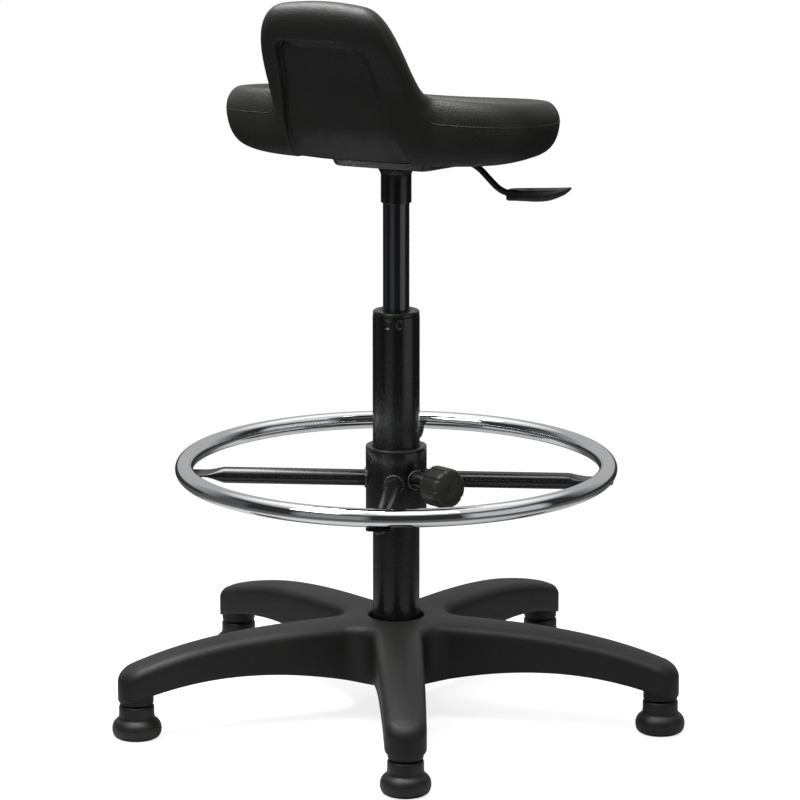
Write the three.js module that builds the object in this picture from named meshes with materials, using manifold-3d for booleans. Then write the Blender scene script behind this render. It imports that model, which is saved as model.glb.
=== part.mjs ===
// Perch stool: a moulded seat with a small back on a gas spring, a foot ring that slides and
// turns on the column, and a five-legged base on fixed glides.
// Millimetres, +Z up. The sitter faces -Y, the back is at +Y, the release lever is at -X.
import * as THREE from "three";
import { mergeVertices } from "three/addons/utils/BufferGeometryUtils.js";
import Module from "manifold-3d";

const wasm = await Module();
wasm.setup();

// Clearances and overruns
const pieceGap = 0.3; // between two pieces that touch on the real stool
const looseGap = 0.6; // round a pin, a pad or a screw that moves in its hole
const cutOverrun = 6; // how far a cutting shape runs past what it cuts

// Facet counts
const fineSides = 32;
const plainSides = 20;
const smallSides = 12;
const screwSides = 10;
const barSides = 14;
const hubBoreSides = 30;
const boardSides = 30;

// Directions about the column, in degrees from +X towards +Y
const legTurn = 116.9;
const spokeTurn = 20.6;
const knobTurn = 155.6;

// Column
const columnRadius = 25;
const columnWall = 2;
const columnLength = 404.7;
const columnShow = 6.3; // how far it shows below the hub
const columnChamfer = 1.2;
const columnFloor = 3;
const dimpleTurns = [94, 123.3, 214, 243.3, 334, 3.3];
const dimpleDepth = 1.2;
const dimpleHalfWidth = 4.2;
const dimpleHalfHeight = 5.2;
const dimpleDrop = 6.8; // below the column's top
const guideBushLength = 84;
const guideCapHeight = 4.8;
const guideCapInset = 0.3;
const guideCapChamfer = 1.2;

// Base
const legCount = 5;
const footCircleRadius = 290.9;
const hubTopHeight = 107;
const hubWall = 6;
const hubRecess = 17;
const hubRingThickness = 4.2;
const hubRingInset = 2; // above the hub's lower edge
const baseWall = 4;
const legHalfWidthAtHub = 26;
const legHalfWidthAtFoot = 21.5;
const legTipLength = 19.5;
const legEdgeRounding = 11;
const legCrown = 1.2; // how much higher the leg's top is in the middle
const crotchFillet = 25;
const legDrop = 27.8; // how much lower the leg's top lies over the foot than at the hub
const legDropPower = 3.47;
const archHeight = 61; // highest point of the leg's lower edge
const archMiddleShare = 0.636;
const archInnerDrop = 24.7;
const ribThickness = 3;
const crossRibShares = [0.5];
const footBossRadius = 18.2;
const footBossShow = 8.5; // how far it stands below the leg's lower edge
const footGroove = 2; // between the boss and the glide
const stemCover = 7;

// Glides
const glideTop = 35.5;
const glideNeckRadius = 18.7;
const glideBeadRadius = 26.2;
const glideBeadHeight = 10.8;
const glideSoleRadius = 19;
const glideShoulderHeight = 22;
// Places on the bulge: across from the sole to the bead, and up to the bead
const glideLowerShares = [
  [0.62, 0.16],
  [0.92, 0.5],
];
// Places above the bead: across to the neck, and up to the shoulder
const glideUpperShares = [
  [0.16, 0.45],
  [0.55, 0.82],
];
const stemRadius = 5.5;
const stemBottom = 12.4;

// Gas spring
const tubeRadius = 14;
const tubeWall = 1.5;
const tubeLength = 369;
const tubeLip = 1.6;
const tubeTaperLength = 40;
const tubeTaperDrop = 0.7;
const rodRadius = 5;
const rodReach = 374; // from the column's lower end to the piston
const rodGrooveDepth = 0.9;
const rodGrooveWidth = 2.6;
const rodTail = 6; // how far the rod shows below the column
const washerThickness = 2;
const washerRadius = 18;
const ballRadius = 2.6;
const ballCount = 8;
const ballCircleRadius = 12.5;
const cageThickness = 2.4;
const bufferHeight = 16;
const bufferRadius = 15;
const clipThickness = 1.6;
const clipRadius = 9;
const pistonHeight = 15;
const pistonRingHeight = 4;
const pistonRingDepth = 2.4;
const rodHeadHeight = 3;
const rodGuideHeight = 12;
const rodSealHeight = 9;
const valveHeight = 32;
const pinRadius = 2.5;
const pinLength = 34;
const pinPlay = 0.4; // between the pin and the lever's rod

// Foot ring and its collar
const ringRadius = 225.65;
const ringTubeRadius = 9.7;
const ringTubeWall = 1.5;
const ringHeight = 269.8;
const collarWall = 3;
const collarLength = 75.4;
const collarBelowRing = 54.8;
const bushWall = 3.9;
const bushFlange = 2.6;
const bushLength = 13;
const spokeRadius = 8.8;
const spokeWall = 1.5;
const spokeDrop = 12.8; // the spoke's axis below the ring's
const bladeThickness = 3;
const bladeHalfWidth = 13.4;
const bladeLength = 20.6; // inside the ring's middle circle
const bladeEnd = 5.8; // outside it
const flatteningLength = 23;
const spokeCount = 4;
const ringScrewRadius = 3;
const ringScrewHeadRadius = 5.5;
const ringScrewHeadHeight = 3;
const ringScrewReach = 6.5;

// Clamp that holds the foot ring
const clampBelowCollarTop = 29.9;
const clampScrewRadius = 5;
const clampBossWall = 3.7;
const clampBossLength = 16.5;
const clampScrewShow = 12;
const clampPadThickness = 2.2;
const knobLength = 28;
const knobRadius = 21.6;
const knobFluteCount = 10;
const knobFluteDepth = 1.4;
const knobRounding = 4;
const knobBoreDepth = 18;
const knobDimpleRadius = 4.6;
const knobDimpleDepth = 1.6;

// Seat plate and socket
const seatUnderside = 612.3;
const plateDepth = 16.2;
const plateSheet = 2.5;
const plateCorner = 3;
const plateRear = 42;
const plateFront = 64;
const plateRearHalf = 52;
const plateSideHalf = 74;
const plateSideRear = 20; // in front of the column, where the side's straight part starts
const plateSideFront = 44;
const plateFrontHalf = 50;
const plateFlare = 5;
const plateFlange = 14;
const socketWall = 1.9;
const socketLength = 39.4;
const socketRise = 1.6; // above the plate's lower face
const socketTubeStep = 2.4; // from the tube's top to the socket's
const socketWeld = 3;
const socketWeldHeight = 11;

// Lever
const leverRodRadius = 3.5;
const leverRise = 8.2; // above the plate's lower face
const leverInnerReach = 2;
const leverPivotOffset = 21.5; // from the socket's side
const leverBendPast = 14.5; // beyond the plate's side
const leverDropRun = 35;
const leverDropHeight = 32.5;
const leverBend = 5;
const gripStandOff = 0.5;
const gripLength = 68.5;
const gripRise = 10.5;
const gripRootThickness = 12;
const gripTipThickness = 3;
const gripHalfWidth = 13;
const gripSocketDepth = 26;
// Sections of the grip: along it, its width, its thickness and how far it has turned up
const gripShares = [
  [0, 0.62, 1, 0],
  [0.03, 0.72, 1, 0],
  [0.3, 0.9, 0.98, 0.18],
  [0.6, 1, 0.86, 0.42],
  [0.8, 0.96, 0.62, 0.67],
  [0.93, 0.74, 0.38, 0.87],
  [1, 0.36, 0.25, 1],
];
const pivotPinRadius = 1.5;
const pivotPinEnd = 1.5; // how far it stands out of each ear
const bracketSheet = 1.2;
const bracketHalfLength = 8;
const bracketHalfWidth = 8;
const bracketEarSheet = 2.4;
const bracketEarTop = 5; // above the pivot
const leverNotchHalf = 6;

// Seat
const boardThickness = 12;
const boardMargin = 33; // outside the plate's flange at the sides
const boardFrontMargin = 10.5;
const foamOverBoard = 10.4;
const boltRadius = 4;
const boltHeadRadius = 6;
const boltHeadHeight = 5;
const tNutWall = 1.2;
const tNutFlangeRadius = 9;
const tNutFlange = 1.4;
const tNutLength = 8;
const seatHalfWidth = 175;
const seatFrontDepth = 120;
const seatRearDepth = 112.5;
const seatFrontPower = 2.1;
const seatRearPower = 3.05;
const rimRearRise = 72; // above the seat's underside
const rimFrontRise = 37.2;
const lowerEdgeFrontDrop = 4.3;
const lowerEdgeRearRise = 0.7;
const backTopRise = 177.2;
const backArchShare = 0.14;
const backTopReach = 174;
const backTopHalf = 15;
const backFootReach = 119.8;
const backFootHalf = 23.6;
const backFrontBow = -2.2;
const backRearBow = 8.2;
const backBlockReach = 146.7;
const backFlankStart = 13.5; // degrees off the rear, where the back's edge starts to fall
const backFlankEnd = 43.5;
// Degrees off the rear at which the seat is cut into sections, on each side
const seatSectionTurns = [
  0, 6, 11, 15, 18.5, 22, 25, 28, 31, 34, 37, 40, 43.5, 49, 60, 71, 82, 93, 104, 115, 126, 137,
  148, 159, 170,
];
// Places along a section, from the middle of the top to the middle of the underside
const seatRowShares = [
  0.045, 0.095, 0.145, 0.19, 0.24, 0.285, 0.32, 0.36, 0.395, 0.43, 0.46, 0.49, 0.52, 0.55, 0.58,
  0.62, 0.66, 0.7, 0.745, 0.79, 0.86, 0.93,
];

// Sizes that follow from those above
const hubRingInner = columnRadius + pieceGap;
const hubRingOuter = hubRingInner + hubRingThickness;
const hubBoreRadius = (hubRingOuter + pieceGap) / Math.cos(Math.PI / hubBoreSides);
const hubOuterRadius = hubBoreRadius + hubWall;
const hubBottomHeight = archHeight - archInnerDrop;
const archMiddleRadius = archMiddleShare * footCircleRadius;
const footBossBottom = glideTop + footGroove;
const archOuterDrop = archHeight - footBossBottom - footBossShow;
const stemTop = hubTopHeight - legDrop - stemCover;
const columnBottom = hubBottomHeight - columnShow;
const columnTop = columnBottom + columnLength;
const columnBore = columnRadius - columnWall;
const columnFloorTop = columnBottom + columnFloor;
const pistonBottom = columnBottom + rodReach;
const collarBore = columnRadius + pieceGap + bushWall + pieceGap;
const collarRadius = collarBore + collarWall;
const collarBottom = ringHeight - collarBelowRing;
const collarTop = collarBottom + collarLength;
const spokeHeight = ringHeight - spokeDrop;
const spokeFlatEnd = ringRadius - bladeLength;
const spokeFlatStart = spokeFlatEnd - flatteningLength;
const spokeEnd = ringRadius + bladeEnd;
const clampHeight = collarTop - clampBelowCollarTop;
const clampBossRadius = clampScrewRadius + pieceGap + clampBossWall;
const clampBossEnd = collarRadius + clampBossLength;
const knobStart = clampBossEnd + clampScrewShow;
const plateTop = seatUnderside - pieceGap;
const plateBottom = plateTop - plateDepth;
const flangeBottom = plateTop - plateSheet;
const socketTop = plateBottom + socketRise;
const socketBottom = socketTop - socketLength;
const socketRadius = tubeRadius + pieceGap + socketWall;
const tubeTop = socketTop - socketTubeStep;
const tubeBottom = tubeTop - tubeLength;
const leverHeight = plateBottom + leverRise;
const leverPivot = socketRadius + leverPivotOffset;
const leverBendStart = plateSideHalf + leverBendPast;
const leverDropEnd = leverBendStart + leverDropRun;
const leverGripAxis = leverHeight - leverDropHeight;
const gripStart = leverDropEnd + leverBend + gripStandOff;
const gripEnd = gripStart + gripLength;
const pinTop = leverHeight - leverRodRadius - pinPlay;
const boardTop = seatUnderside + boardThickness;
const boardHalfWidth = plateSideHalf + plateFlare + plateFlange + boardMargin;
const boardHalfDepth = plateFront + (plateFlare + plateFlange) / 2 + boardFrontMargin;
const dishHeight = boardTop + pieceGap + foamOverBoard;
const rimRearHeight = seatUnderside + rimRearRise;
const rimFrontHeight = seatUnderside + rimFrontRise;
const lowerEdgeFrontHeight = seatUnderside - lowerEdgeFrontDrop;
const lowerEdgeRearHeight = seatUnderside + lowerEdgeRearRise;
const backTopHeight = seatUnderside + backTopRise;

const radians = Math.PI / 180;

// Turns a three.js geometry into a closed solid whose faces point out.
function solidOf(geometry) {
  const bare = geometry.index ? geometry.toNonIndexed() : geometry.clone();
  bare.deleteAttribute("normal");
  bare.deleteAttribute("uv");
  const merged = mergeVertices(bare);
  const corners = merged.index.array;
  const kept = [];
  for (let i = 0; i < corners.length; i += 3) {
    const [a, b, c] = [corners[i], corners[i + 1], corners[i + 2]];
    if (a !== b && b !== c && c !== a) kept.push(a, b, c);
  }
  const vertProperties = new Float32Array(merged.attributes.position.array);
  const made = (order) =>
    new wasm.Manifold(
      new wasm.Mesh({ numProp: 3, vertProperties, triVerts: new Uint32Array(order) }),
    );
  const solid = made(kept);
  if (solid.volume() > 0) return solid;
  for (let i = 0; i < kept.length; i += 3) {
    [kept[i + 1], kept[i + 2]] = [kept[i + 2], kept[i + 1]];
  }
  return made(kept);
}

// Turns a solid back into a three.js geometry.
function geometryOf(solid) {
  const mesh = solid.getMesh();
  const geometry = new THREE.BufferGeometry();
  geometry.setAttribute("position", new THREE.BufferAttribute(mesh.vertProperties, 3));
  geometry.setIndex(new THREE.BufferAttribute(mesh.triVerts, 1));
  geometry.computeVertexNormals();
  return geometry;
}

// A solid turned about the Z axis from a profile of [radius, height] points. A profile that
// doesn't start and end on the axis is closed on itself.
function turned(profile, sides) {
  const points = profile.map(([r, z]) => new THREE.Vector2(r, z));
  if (profile[0][0] > 0 || profile[profile.length - 1][0] > 0) points.push(points[0].clone());
  return solidOf(new THREE.LatheGeometry(points, sides).rotateX(Math.PI / 2));
}

// A ring-shaped profile between two radii and two heights.
function ringProfile(inner, outer, low, high) {
  return [
    [inner, low],
    [outer, low],
    [outer, high],
    [inner, high],
  ];
}

// A plain disc or pin about the Z axis.
function pinProfile(radius, low, high) {
  return [
    [0, low],
    [radius, low],
    [radius, high],
    [0, high],
  ];
}

// A solid block from its low and high corners.
function block(low, high) {
  const size = high.map((v, i) => v - low[i]);
  const middle = high.map((v, i) => (v + low[i]) / 2);
  return solidOf(new THREE.BoxGeometry(...size).translate(...middle));
}

// Lays a solid made about the Z axis along +X, its base at x = 0.
const alongX = (solid) => solid.rotate([0, 90, 0]);

// A closed tube or loft from a list of rings of points, capped with fans at both ends.
function lofted(rings) {
  const count = rings[0].length;
  const places = rings.flat();
  const faces = [];
  for (let j = 0; j + 1 < rings.length; j++) {
    for (let i = 0; i < count; i++) {
      const next = (i + 1) % count;
      const [a, b] = [j * count + i, j * count + next];
      faces.push(a, b, b + count, a, b + count, a + count);
    }
  }
  const last = (rings.length - 1) * count;
  for (let i = 1; i + 1 < count; i++) {
    faces.push(0, i + 1, i);
    faces.push(last, last + i, last + i + 1);
  }
  return solidOf(meshFrom(places, faces));
}

function meshFrom(places, faces) {
  const geometry = new THREE.BufferGeometry();
  geometry.setAttribute("position", new THREE.Float32BufferAttribute(places.flat(), 3));
  geometry.setIndex(faces);
  return geometry;
}

const root = new THREE.Group();
// The column's axis stands beside the middle of the footprint of five legs.
const columnFrame = new THREE.Group();
root.add(columnFrame);
const footDirections = [];
for (let i = 0; i < legCount; i++) footDirections.push(legTurn + (i * 360) / legCount);
const middleOf = (values) => (Math.max(...values) + Math.min(...values)) / 2;
columnFrame.position.set(
  -footCircleRadius * middleOf(footDirections.map((a) => Math.cos(a * radians))),
  -footCircleRadius * middleOf(footDirections.map((a) => Math.sin(a * radians))),
  0,
);

// Finishes
const nylonBlack = { color: 0x2d2d2b, roughness: 0.62, metalness: 0 };
const paintBlack = { color: 0x141414, roughness: 0.22, metalness: 0.1 };
const foamBlack = { color: 0x262625, roughness: 0.7, metalness: 0 };
const plasticBlack = { color: 0x1d1d1e, roughness: 0.5, metalness: 0 };
const rubberBlack = { color: 0x1a1a1a, roughness: 0.9, metalness: 0 };
const chrome = { color: 0xe6e8ea, roughness: 0.06, metalness: 1 };
const steelBright = { color: 0xb9bcc0, roughness: 0.3, metalness: 1 };
const bushWhite = { color: 0xd9d6cb, roughness: 0.5, metalness: 0 };
const brass = { color: 0xb5924c, roughness: 0.35, metalness: 1 };
const plywood = { color: 0xb98d58, roughness: 0.8, metalness: 0 };

// Adds a named mesh to the column's frame, turned about the column by some degrees.
function add(name, solid, finish, turn = 0) {
  const mesh = new THREE.Mesh(geometryOf(solid), new THREE.MeshStandardMaterial(finish));
  mesh.name = name;
  mesh.rotation.z = turn * radians;
  columnFrame.add(mesh);
  return mesh;
}

// Base

const legTopAt = (radius) =>
  hubTopHeight - legDrop * Math.pow(radius / footCircleRadius, legDropPower);

function legBottomAt(radius) {
  const past = radius - archMiddleRadius;
  const inner = past < 0;
  const drop = inner ? archInnerDrop : archOuterDrop;
  const span = inner ? archMiddleRadius - hubOuterRadius : footCircleRadius - archMiddleRadius;
  return archHeight - drop * Math.pow(past / span, 2);
}

// Half of one leg's outline, from the middle of the crotch to the tip, and the line inside it
// that the top is drawn to: first round the hub's bore, then along the leg's middle.
function legOutline(innerRadius, { filletSteps, sideShares, tipSteps }) {
  const half = Math.PI / legCount;
  const centre = (legHalfWidthAtHub + crotchFillet) / Math.sin(half);
  const outer = [];
  const inner = [];
  for (let i = 0; i <= filletSteps; i++) {
    const angle = Math.PI + half + ((Math.PI / 2 - half) * i) / filletSteps;
    outer.push([
      centre * Math.cos(half) + crotchFillet * Math.cos(angle),
      centre * Math.sin(half) + crotchFillet * Math.sin(angle),
    ]);
    const around = half * Math.max(0, 1 - i / (filletSteps - 1));
    inner.push([innerRadius * Math.cos(around), innerRadius * Math.sin(around)]);
  }
  const sideStart = outer[filletSteps][0];
  inner[filletSteps][0] = (innerRadius + sideStart) / 2;
  for (const share of sideShares) {
    const s = sideStart + share * (footCircleRadius - sideStart);
    outer.push([s, legHalfWidthAtHub + share * (legHalfWidthAtFoot - legHalfWidthAtHub)]);
    inner.push([s, 0]);
  }
  for (let i = 0; i <= tipSteps; i++) {
    const angle = (i * Math.PI) / 2 / tipSteps;
    outer.push([
      footCircleRadius + legTipLength * Math.sin(angle),
      legHalfWidthAtFoot * Math.cos(angle),
    ]);
    inner.push([footCircleRadius, 0]);
  }
  return { outer, inner };
}

// The outline moved into the material by a distance, square to itself.
function movedIn(outline, distance) {
  const half = Math.PI / legCount;
  const last = outline.length - 1;
  return outline.map(([s, w], i) => {
    if (i === 0) return [s - distance * Math.cos(half), w - distance * Math.sin(half)];
    if (i === last) return [s - distance, 0];
    const [before, after] = [outline[i - 1], outline[i + 1]];
    const along = [after[0] - before[0], after[1] - before[1]];
    const length = Math.hypot(...along);
    return [s + (distance * along[1]) / length, w - (distance * along[0]) / length];
  });
}

// The star-shaped body of the base: the legs' sides stand upright, and the top follows one
// curve out from the hub, with rounded edges.
function starBody({ innerRadius, inset, topDrop, rounding, roundingSteps, bottomAt, detail }) {
  const { outer, inner } = legOutline(innerRadius, detail);
  const edge = movedIn(outer, inset);
  const rings = [];
  const heightOver = ([s, w]) => legTopAt(Math.hypot(s, w)) - topDrop;
  rings.push(inner.map(([s, w]) => [s, w, bottomAt(Math.hypot(s, w))]));
  rings.push(edge.map(([s, w]) => [s, w, bottomAt(Math.hypot(s, w))]));
  rings.push(edge.map((p) => [...p, heightOver(p) - legCrown - rounding]));
  for (let k = 1; k <= roundingSteps; k++) {
    const angle = (k * Math.PI) / 2 / roundingSteps;
    const line = movedIn(outer, inset + rounding * (1 - Math.cos(angle)));
    const fall = legCrown + rounding * (1 - Math.sin(angle));
    rings.push(line.map((p) => [...p, heightOver(p) - fall]));
  }
  rings.push(inner.map((p) => [...p, heightOver(p)]));
  const stations = outer.length;
  const boreEnd = inner.findIndex(([, w]) => w === 0);
  const places = [];
  const faces = [];
  for (let leg = 0; leg < legCount; leg++) {
    for (const side of [1, -1]) {
      const turn = (leg * 2 * Math.PI) / legCount;
      const start = places.length;
      for (const ring of rings) {
        for (const [s, w, z] of ring) {
          const x = s * Math.cos(turn) - side * w * Math.sin(turn);
          const y = s * Math.sin(turn) + side * w * Math.cos(turn);
          places.push([x, y, z]);
        }
      }
      const quad = (a, b, c, d) =>
        side > 0 ? faces.push(a, b, c, a, c, d) : faces.push(a, c, b, a, d, c);
      for (let j = 0; j + 1 < rings.length; j++) {
        for (let i = 0; i + 1 < stations; i++) {
          const a = start + j * stations + i;
          quad(a, a + 1, a + 1 + stations, a + stations);
        }
      }
      const topRing = (rings.length - 1) * stations;
      for (let i = 0; i < boreEnd; i++) {
        quad(start + topRing + i, start + topRing + i + 1, start + i + 1, start + i);
      }
    }
  }
  return solidOf(meshFrom(places, faces));
}

const baseShell = starBody({
  innerRadius: hubBoreRadius,
  inset: 0,
  topDrop: 0,
  rounding: legEdgeRounding,
  roundingSteps: 3,
  bottomAt: legBottomAt,
  detail: { filletSteps: 4, sideShares: [0.25, 0.48, 0.7, 0.87], tipSteps: 3 },
});
let baseHollow = starBody({
  innerRadius: hubOuterRadius,
  inset: baseWall,
  topDrop: baseWall,
  rounding: legEdgeRounding - baseWall,
  roundingSteps: 1,
  bottomAt: () => footBossBottom - legDrop,
  detail: { filletSteps: 2, sideShares: [0.4, 0.75], tipSteps: 2 },
});
const legRoot = hubBoreRadius + hubWall / 2;
for (let i = 0; i < legCount; i++) {
  const turn = [0, 0, (i * 360) / legCount];
  const low = footBossBottom - legDrop - cutOverrun;
  const high = hubTopHeight;
  const spine = block(
    [legRoot, -ribThickness / 2, low],
    [footCircleRadius, ribThickness / 2, high],
  );
  baseHollow = baseHollow.subtract(spine.rotate(turn));
  for (const share of crossRibShares) {
    const place = share * footCircleRadius;
    const rib = block(
      [place, -legHalfWidthAtHub, low],
      [place + ribThickness, legHalfWidthAtHub, high],
    );
    baseHollow = baseHollow.subtract(rib.rotate(turn));
  }
  baseHollow = baseHollow.subtract(
    turned(pinProfile(footBossRadius, low, high), plainSides)
      .translate([footCircleRadius, 0, 0])
      .rotate(turn),
  );
}
let starBase = baseShell.subtract(baseHollow);
for (let i = 0; i < legCount; i++) {
  const turn = [0, 0, (i * 360) / legCount];
  const bossFoot = turned(pinProfile(footBossRadius, footBossBottom, archHeight), plainSides);
  const drill = turned(
    pinProfile(stemRadius + pieceGap, footBossBottom - cutOverrun, stemTop + pieceGap),
    screwSides,
  );
  starBase = starBase
    .add(bossFoot.translate([footCircleRadius, 0, 0]).rotate(turn))
    .subtract(drill.translate([footCircleRadius, 0, 0]).rotate(turn));
}
add("star_base", starBase, nylonBlack, legTurn);
add(
  "hub_ring",
  turned(
    ringProfile(
      hubRingInner,
      hubRingOuter,
      hubBottomHeight + hubRingInset,
      hubTopHeight - hubRecess,
    ),
    fineSides,
  ),
  steelBright,
);

const glideProfile = [
  [0, 0],
  [glideSoleRadius, 0],
  ...glideLowerShares.map(([across, up]) => [
    glideSoleRadius + across * (glideBeadRadius - glideSoleRadius),
    up * glideBeadHeight,
  ]),
  [glideBeadRadius, glideBeadHeight],
  ...glideUpperShares.map(([across, up]) => [
    glideBeadRadius - across * (glideBeadRadius - glideNeckRadius),
    glideBeadHeight + up * (glideShoulderHeight - glideBeadHeight),
  ]),
  [glideNeckRadius + pieceGap, glideShoulderHeight],
  [glideNeckRadius, glideTop],
  [stemRadius + pieceGap, glideTop],
  [stemRadius + pieceGap, stemBottom - pieceGap],
  [0, stemBottom - pieceGap],
];
for (let i = 0; i < legCount; i++) {
  const turn = legTurn + (i * 360) / legCount;
  const glide = turned(glideProfile, plainSides).translate([footCircleRadius, 0, 0]);
  const stem = turned(pinProfile(stemRadius, stemBottom, stemTop), screwSides);
  add(`glide_${i + 1}`, glide, plasticBlack, turn);
  add(`glide_stem_${i + 1}`, stem.translate([footCircleRadius, 0, 0]), steelBright, turn);
}

// Column and gas spring

const rodHole = rodRadius + pieceGap;
let column = turned(
  [
    [rodHole, columnBottom],
    [columnRadius - columnChamfer, columnBottom],
    [columnRadius, columnBottom + columnChamfer],
    [columnRadius, columnTop - columnChamfer],
    [columnRadius - columnChamfer, columnTop],
    [columnBore, columnTop],
    [columnBore, columnFloorTop],
    [rodHole, columnFloorTop],
  ],
  fineSides,
);
for (const turn of dimpleTurns) {
  const ball = new THREE.SphereGeometry(1, 8, 6).rotateX(Math.PI / 2);
  ball.scale(dimpleDepth, dimpleHalfWidth, dimpleHalfHeight);
  const placed = solidOf(ball).translate([columnRadius, 0, columnTop - dimpleDrop]);
  column = column.subtract(placed.rotate([0, 0, turn]));
}
add("column_tube", column, paintBlack);
// The guide's cap lies on the column's top.
const guideInner = tubeRadius + pieceGap;
const guideOuter = columnBore - pieceGap;
const guideCapLow = columnTop + pieceGap;
const guideCapRadius = columnRadius - guideCapInset;
add(
  "guide_bush",
  turned(
    [
      [guideInner, columnTop - guideBushLength],
      [guideOuter, columnTop - guideBushLength],
      [guideOuter, guideCapLow],
      [guideCapRadius, guideCapLow],
      [guideCapRadius, guideCapLow + guideCapHeight - guideCapChamfer],
      [guideCapRadius - guideCapChamfer, guideCapLow + guideCapHeight],
      [guideInner, guideCapLow + guideCapHeight],
    ],
    fineSides,
  ),
  plasticBlack,
);

const lowerWasherLow = columnFloorTop + pieceGap;
const lowerWasherHigh = lowerWasherLow + washerThickness;
const ballMiddle = lowerWasherHigh + pieceGap + ballRadius;
const upperWasherLow = ballMiddle + ballRadius + pieceGap;
const upperWasherHigh = upperWasherLow + washerThickness;
const bufferLow = upperWasherHigh + pieceGap;
add(
  "lower_washer",
  turned(ringProfile(rodHole, washerRadius, lowerWasherLow, lowerWasherHigh), plainSides),
  steelBright,
);
let ballRing = turned(
  ringProfile(
    ballCircleRadius - ballRadius - pieceGap,
    ballCircleRadius + ballRadius + pieceGap,
    ballMiddle - cageThickness / 2,
    ballMiddle + cageThickness / 2,
  ),
  plainSides,
);
for (let i = 0; i < ballCount; i++) {
  const ball = solidOf(new THREE.SphereGeometry(ballRadius, 7, 5).rotateX(Math.PI / 2));
  const placed = ball.translate([ballCircleRadius, 0, ballMiddle]);
  ballRing = ballRing.add(placed.rotate([0, 0, (i * 360) / ballCount]));
}
add("ball_ring", ballRing, brass);
add(
  "upper_washer",
  turned(ringProfile(rodHole, washerRadius, upperWasherLow, upperWasherHigh), plainSides),
  steelBright,
);
add(
  "buffer_ring",
  turned(ringProfile(rodHole, bufferRadius, bufferLow, bufferLow + bufferHeight), plainSides),
  rubberBlack,
);
const grooveTop = columnBottom - pieceGap;
const grooveBottom = grooveTop - rodGrooveWidth;
const grooveRadius = rodRadius - rodGrooveDepth;
const rodNeck = rodRadius - rodGrooveDepth;
const rodHeadLow = pistonBottom + pistonHeight + pieceGap;
add(
  "piston_rod",
  turned(
    [
      [0, columnBottom - rodTail],
      [rodRadius, columnBottom - rodTail],
      [rodRadius, grooveBottom],
      [grooveRadius, grooveBottom],
      [grooveRadius, grooveTop],
      [rodRadius, grooveTop],
      [rodRadius, pistonBottom - pieceGap],
      [rodNeck, pistonBottom - pieceGap],
      [rodNeck, rodHeadLow],
      [rodRadius, rodHeadLow],
      [rodRadius, rodHeadLow + rodHeadHeight],
      [0, rodHeadLow + rodHeadHeight],
    ],
    smallSides,
  ),
  chrome,
);
const clipMiddle = (grooveTop + grooveBottom) / 2;
add(
  "rod_clip",
  turned(
    ringProfile(
      grooveRadius + pieceGap,
      clipRadius,
      clipMiddle - clipThickness / 2,
      clipMiddle + clipThickness / 2,
    ),
    smallSides,
  ),
  steelBright,
);
const tubeBore = tubeRadius - tubeWall;
const pistonRadius = tubeBore - pieceGap;
const pistonGroove = pistonRadius - pistonRingDepth;
const ringMiddle = pistonBottom + pistonHeight / 2;
const ringLow = ringMiddle - pistonRingHeight / 2;
const ringHigh = ringMiddle + pistonRingHeight / 2;
add(
  "piston",
  turned(
    [
      [rodNeck + pieceGap, pistonBottom],
      [pistonRadius, pistonBottom],
      [pistonRadius, ringLow - pieceGap],
      [pistonGroove, ringLow - pieceGap],
      [pistonGroove, ringHigh + pieceGap],
      [pistonRadius, ringHigh + pieceGap],
      [pistonRadius, pistonBottom + pistonHeight],
      [rodNeck + pieceGap, pistonBottom + pistonHeight],
    ],
    smallSides,
  ),
  steelBright,
);
add(
  "piston_ring",
  turned(ringProfile(pistonGroove + pieceGap, pistonRadius, ringLow, ringHigh), smallSides),
  rubberBlack,
);
const pinHole = pinRadius + looseGap;
const tubeTaperStart = tubeTop - tubeTaperLength;
const tubeTopRadius = tubeRadius - tubeTaperDrop;
const boreTop = tubeTop - tubeLip;
const tubeTopBore = tubeBore - tubeTaperDrop;
add(
  "pressure_tube",
  turned(
    [
      [tubeBore - tubeLip, tubeBottom],
      [tubeRadius, tubeBottom],
      [tubeRadius, tubeTaperStart],
      [tubeTopRadius, tubeTop],
      [pinHole, tubeTop],
      [pinHole, boreTop],
      [tubeTopBore, boreTop],
      [tubeTopBore, tubeTaperStart],
      [tubeBore, tubeTaperStart],
      [tubeBore, tubeBottom + tubeLip],
      [tubeBore - tubeLip, tubeBottom + tubeLip],
    ],
    plainSides,
  ),
  paintBlack,
);
const guideLow = tubeBottom + tubeLip + pieceGap;
const guideHigh = guideLow + rodGuideHeight;
const sealLow = guideHigh + pieceGap;
add(
  "rod_guide",
  turned(ringProfile(rodHole, tubeBore - pieceGap, guideLow, guideHigh), smallSides),
  brass,
);
add(
  "rod_seal",
  turned(
    ringProfile(rodHole, tubeBore - pieceGap, sealLow, sealLow + rodSealHeight),
    smallSides,
  ),
  rubberBlack,
);
const valveHigh = boreTop - pieceGap;
add(
  "valve_block",
  turned(
    ringProfile(pinHole, tubeTopBore - pieceGap, valveHigh - valveHeight, valveHigh),
    smallSides,
  ),
  brass,
);
add(
  "release_pin",
  turned(pinProfile(pinRadius, pinTop - pinLength, pinTop), screwSides),
  steelBright,
);

// Foot ring

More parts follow.
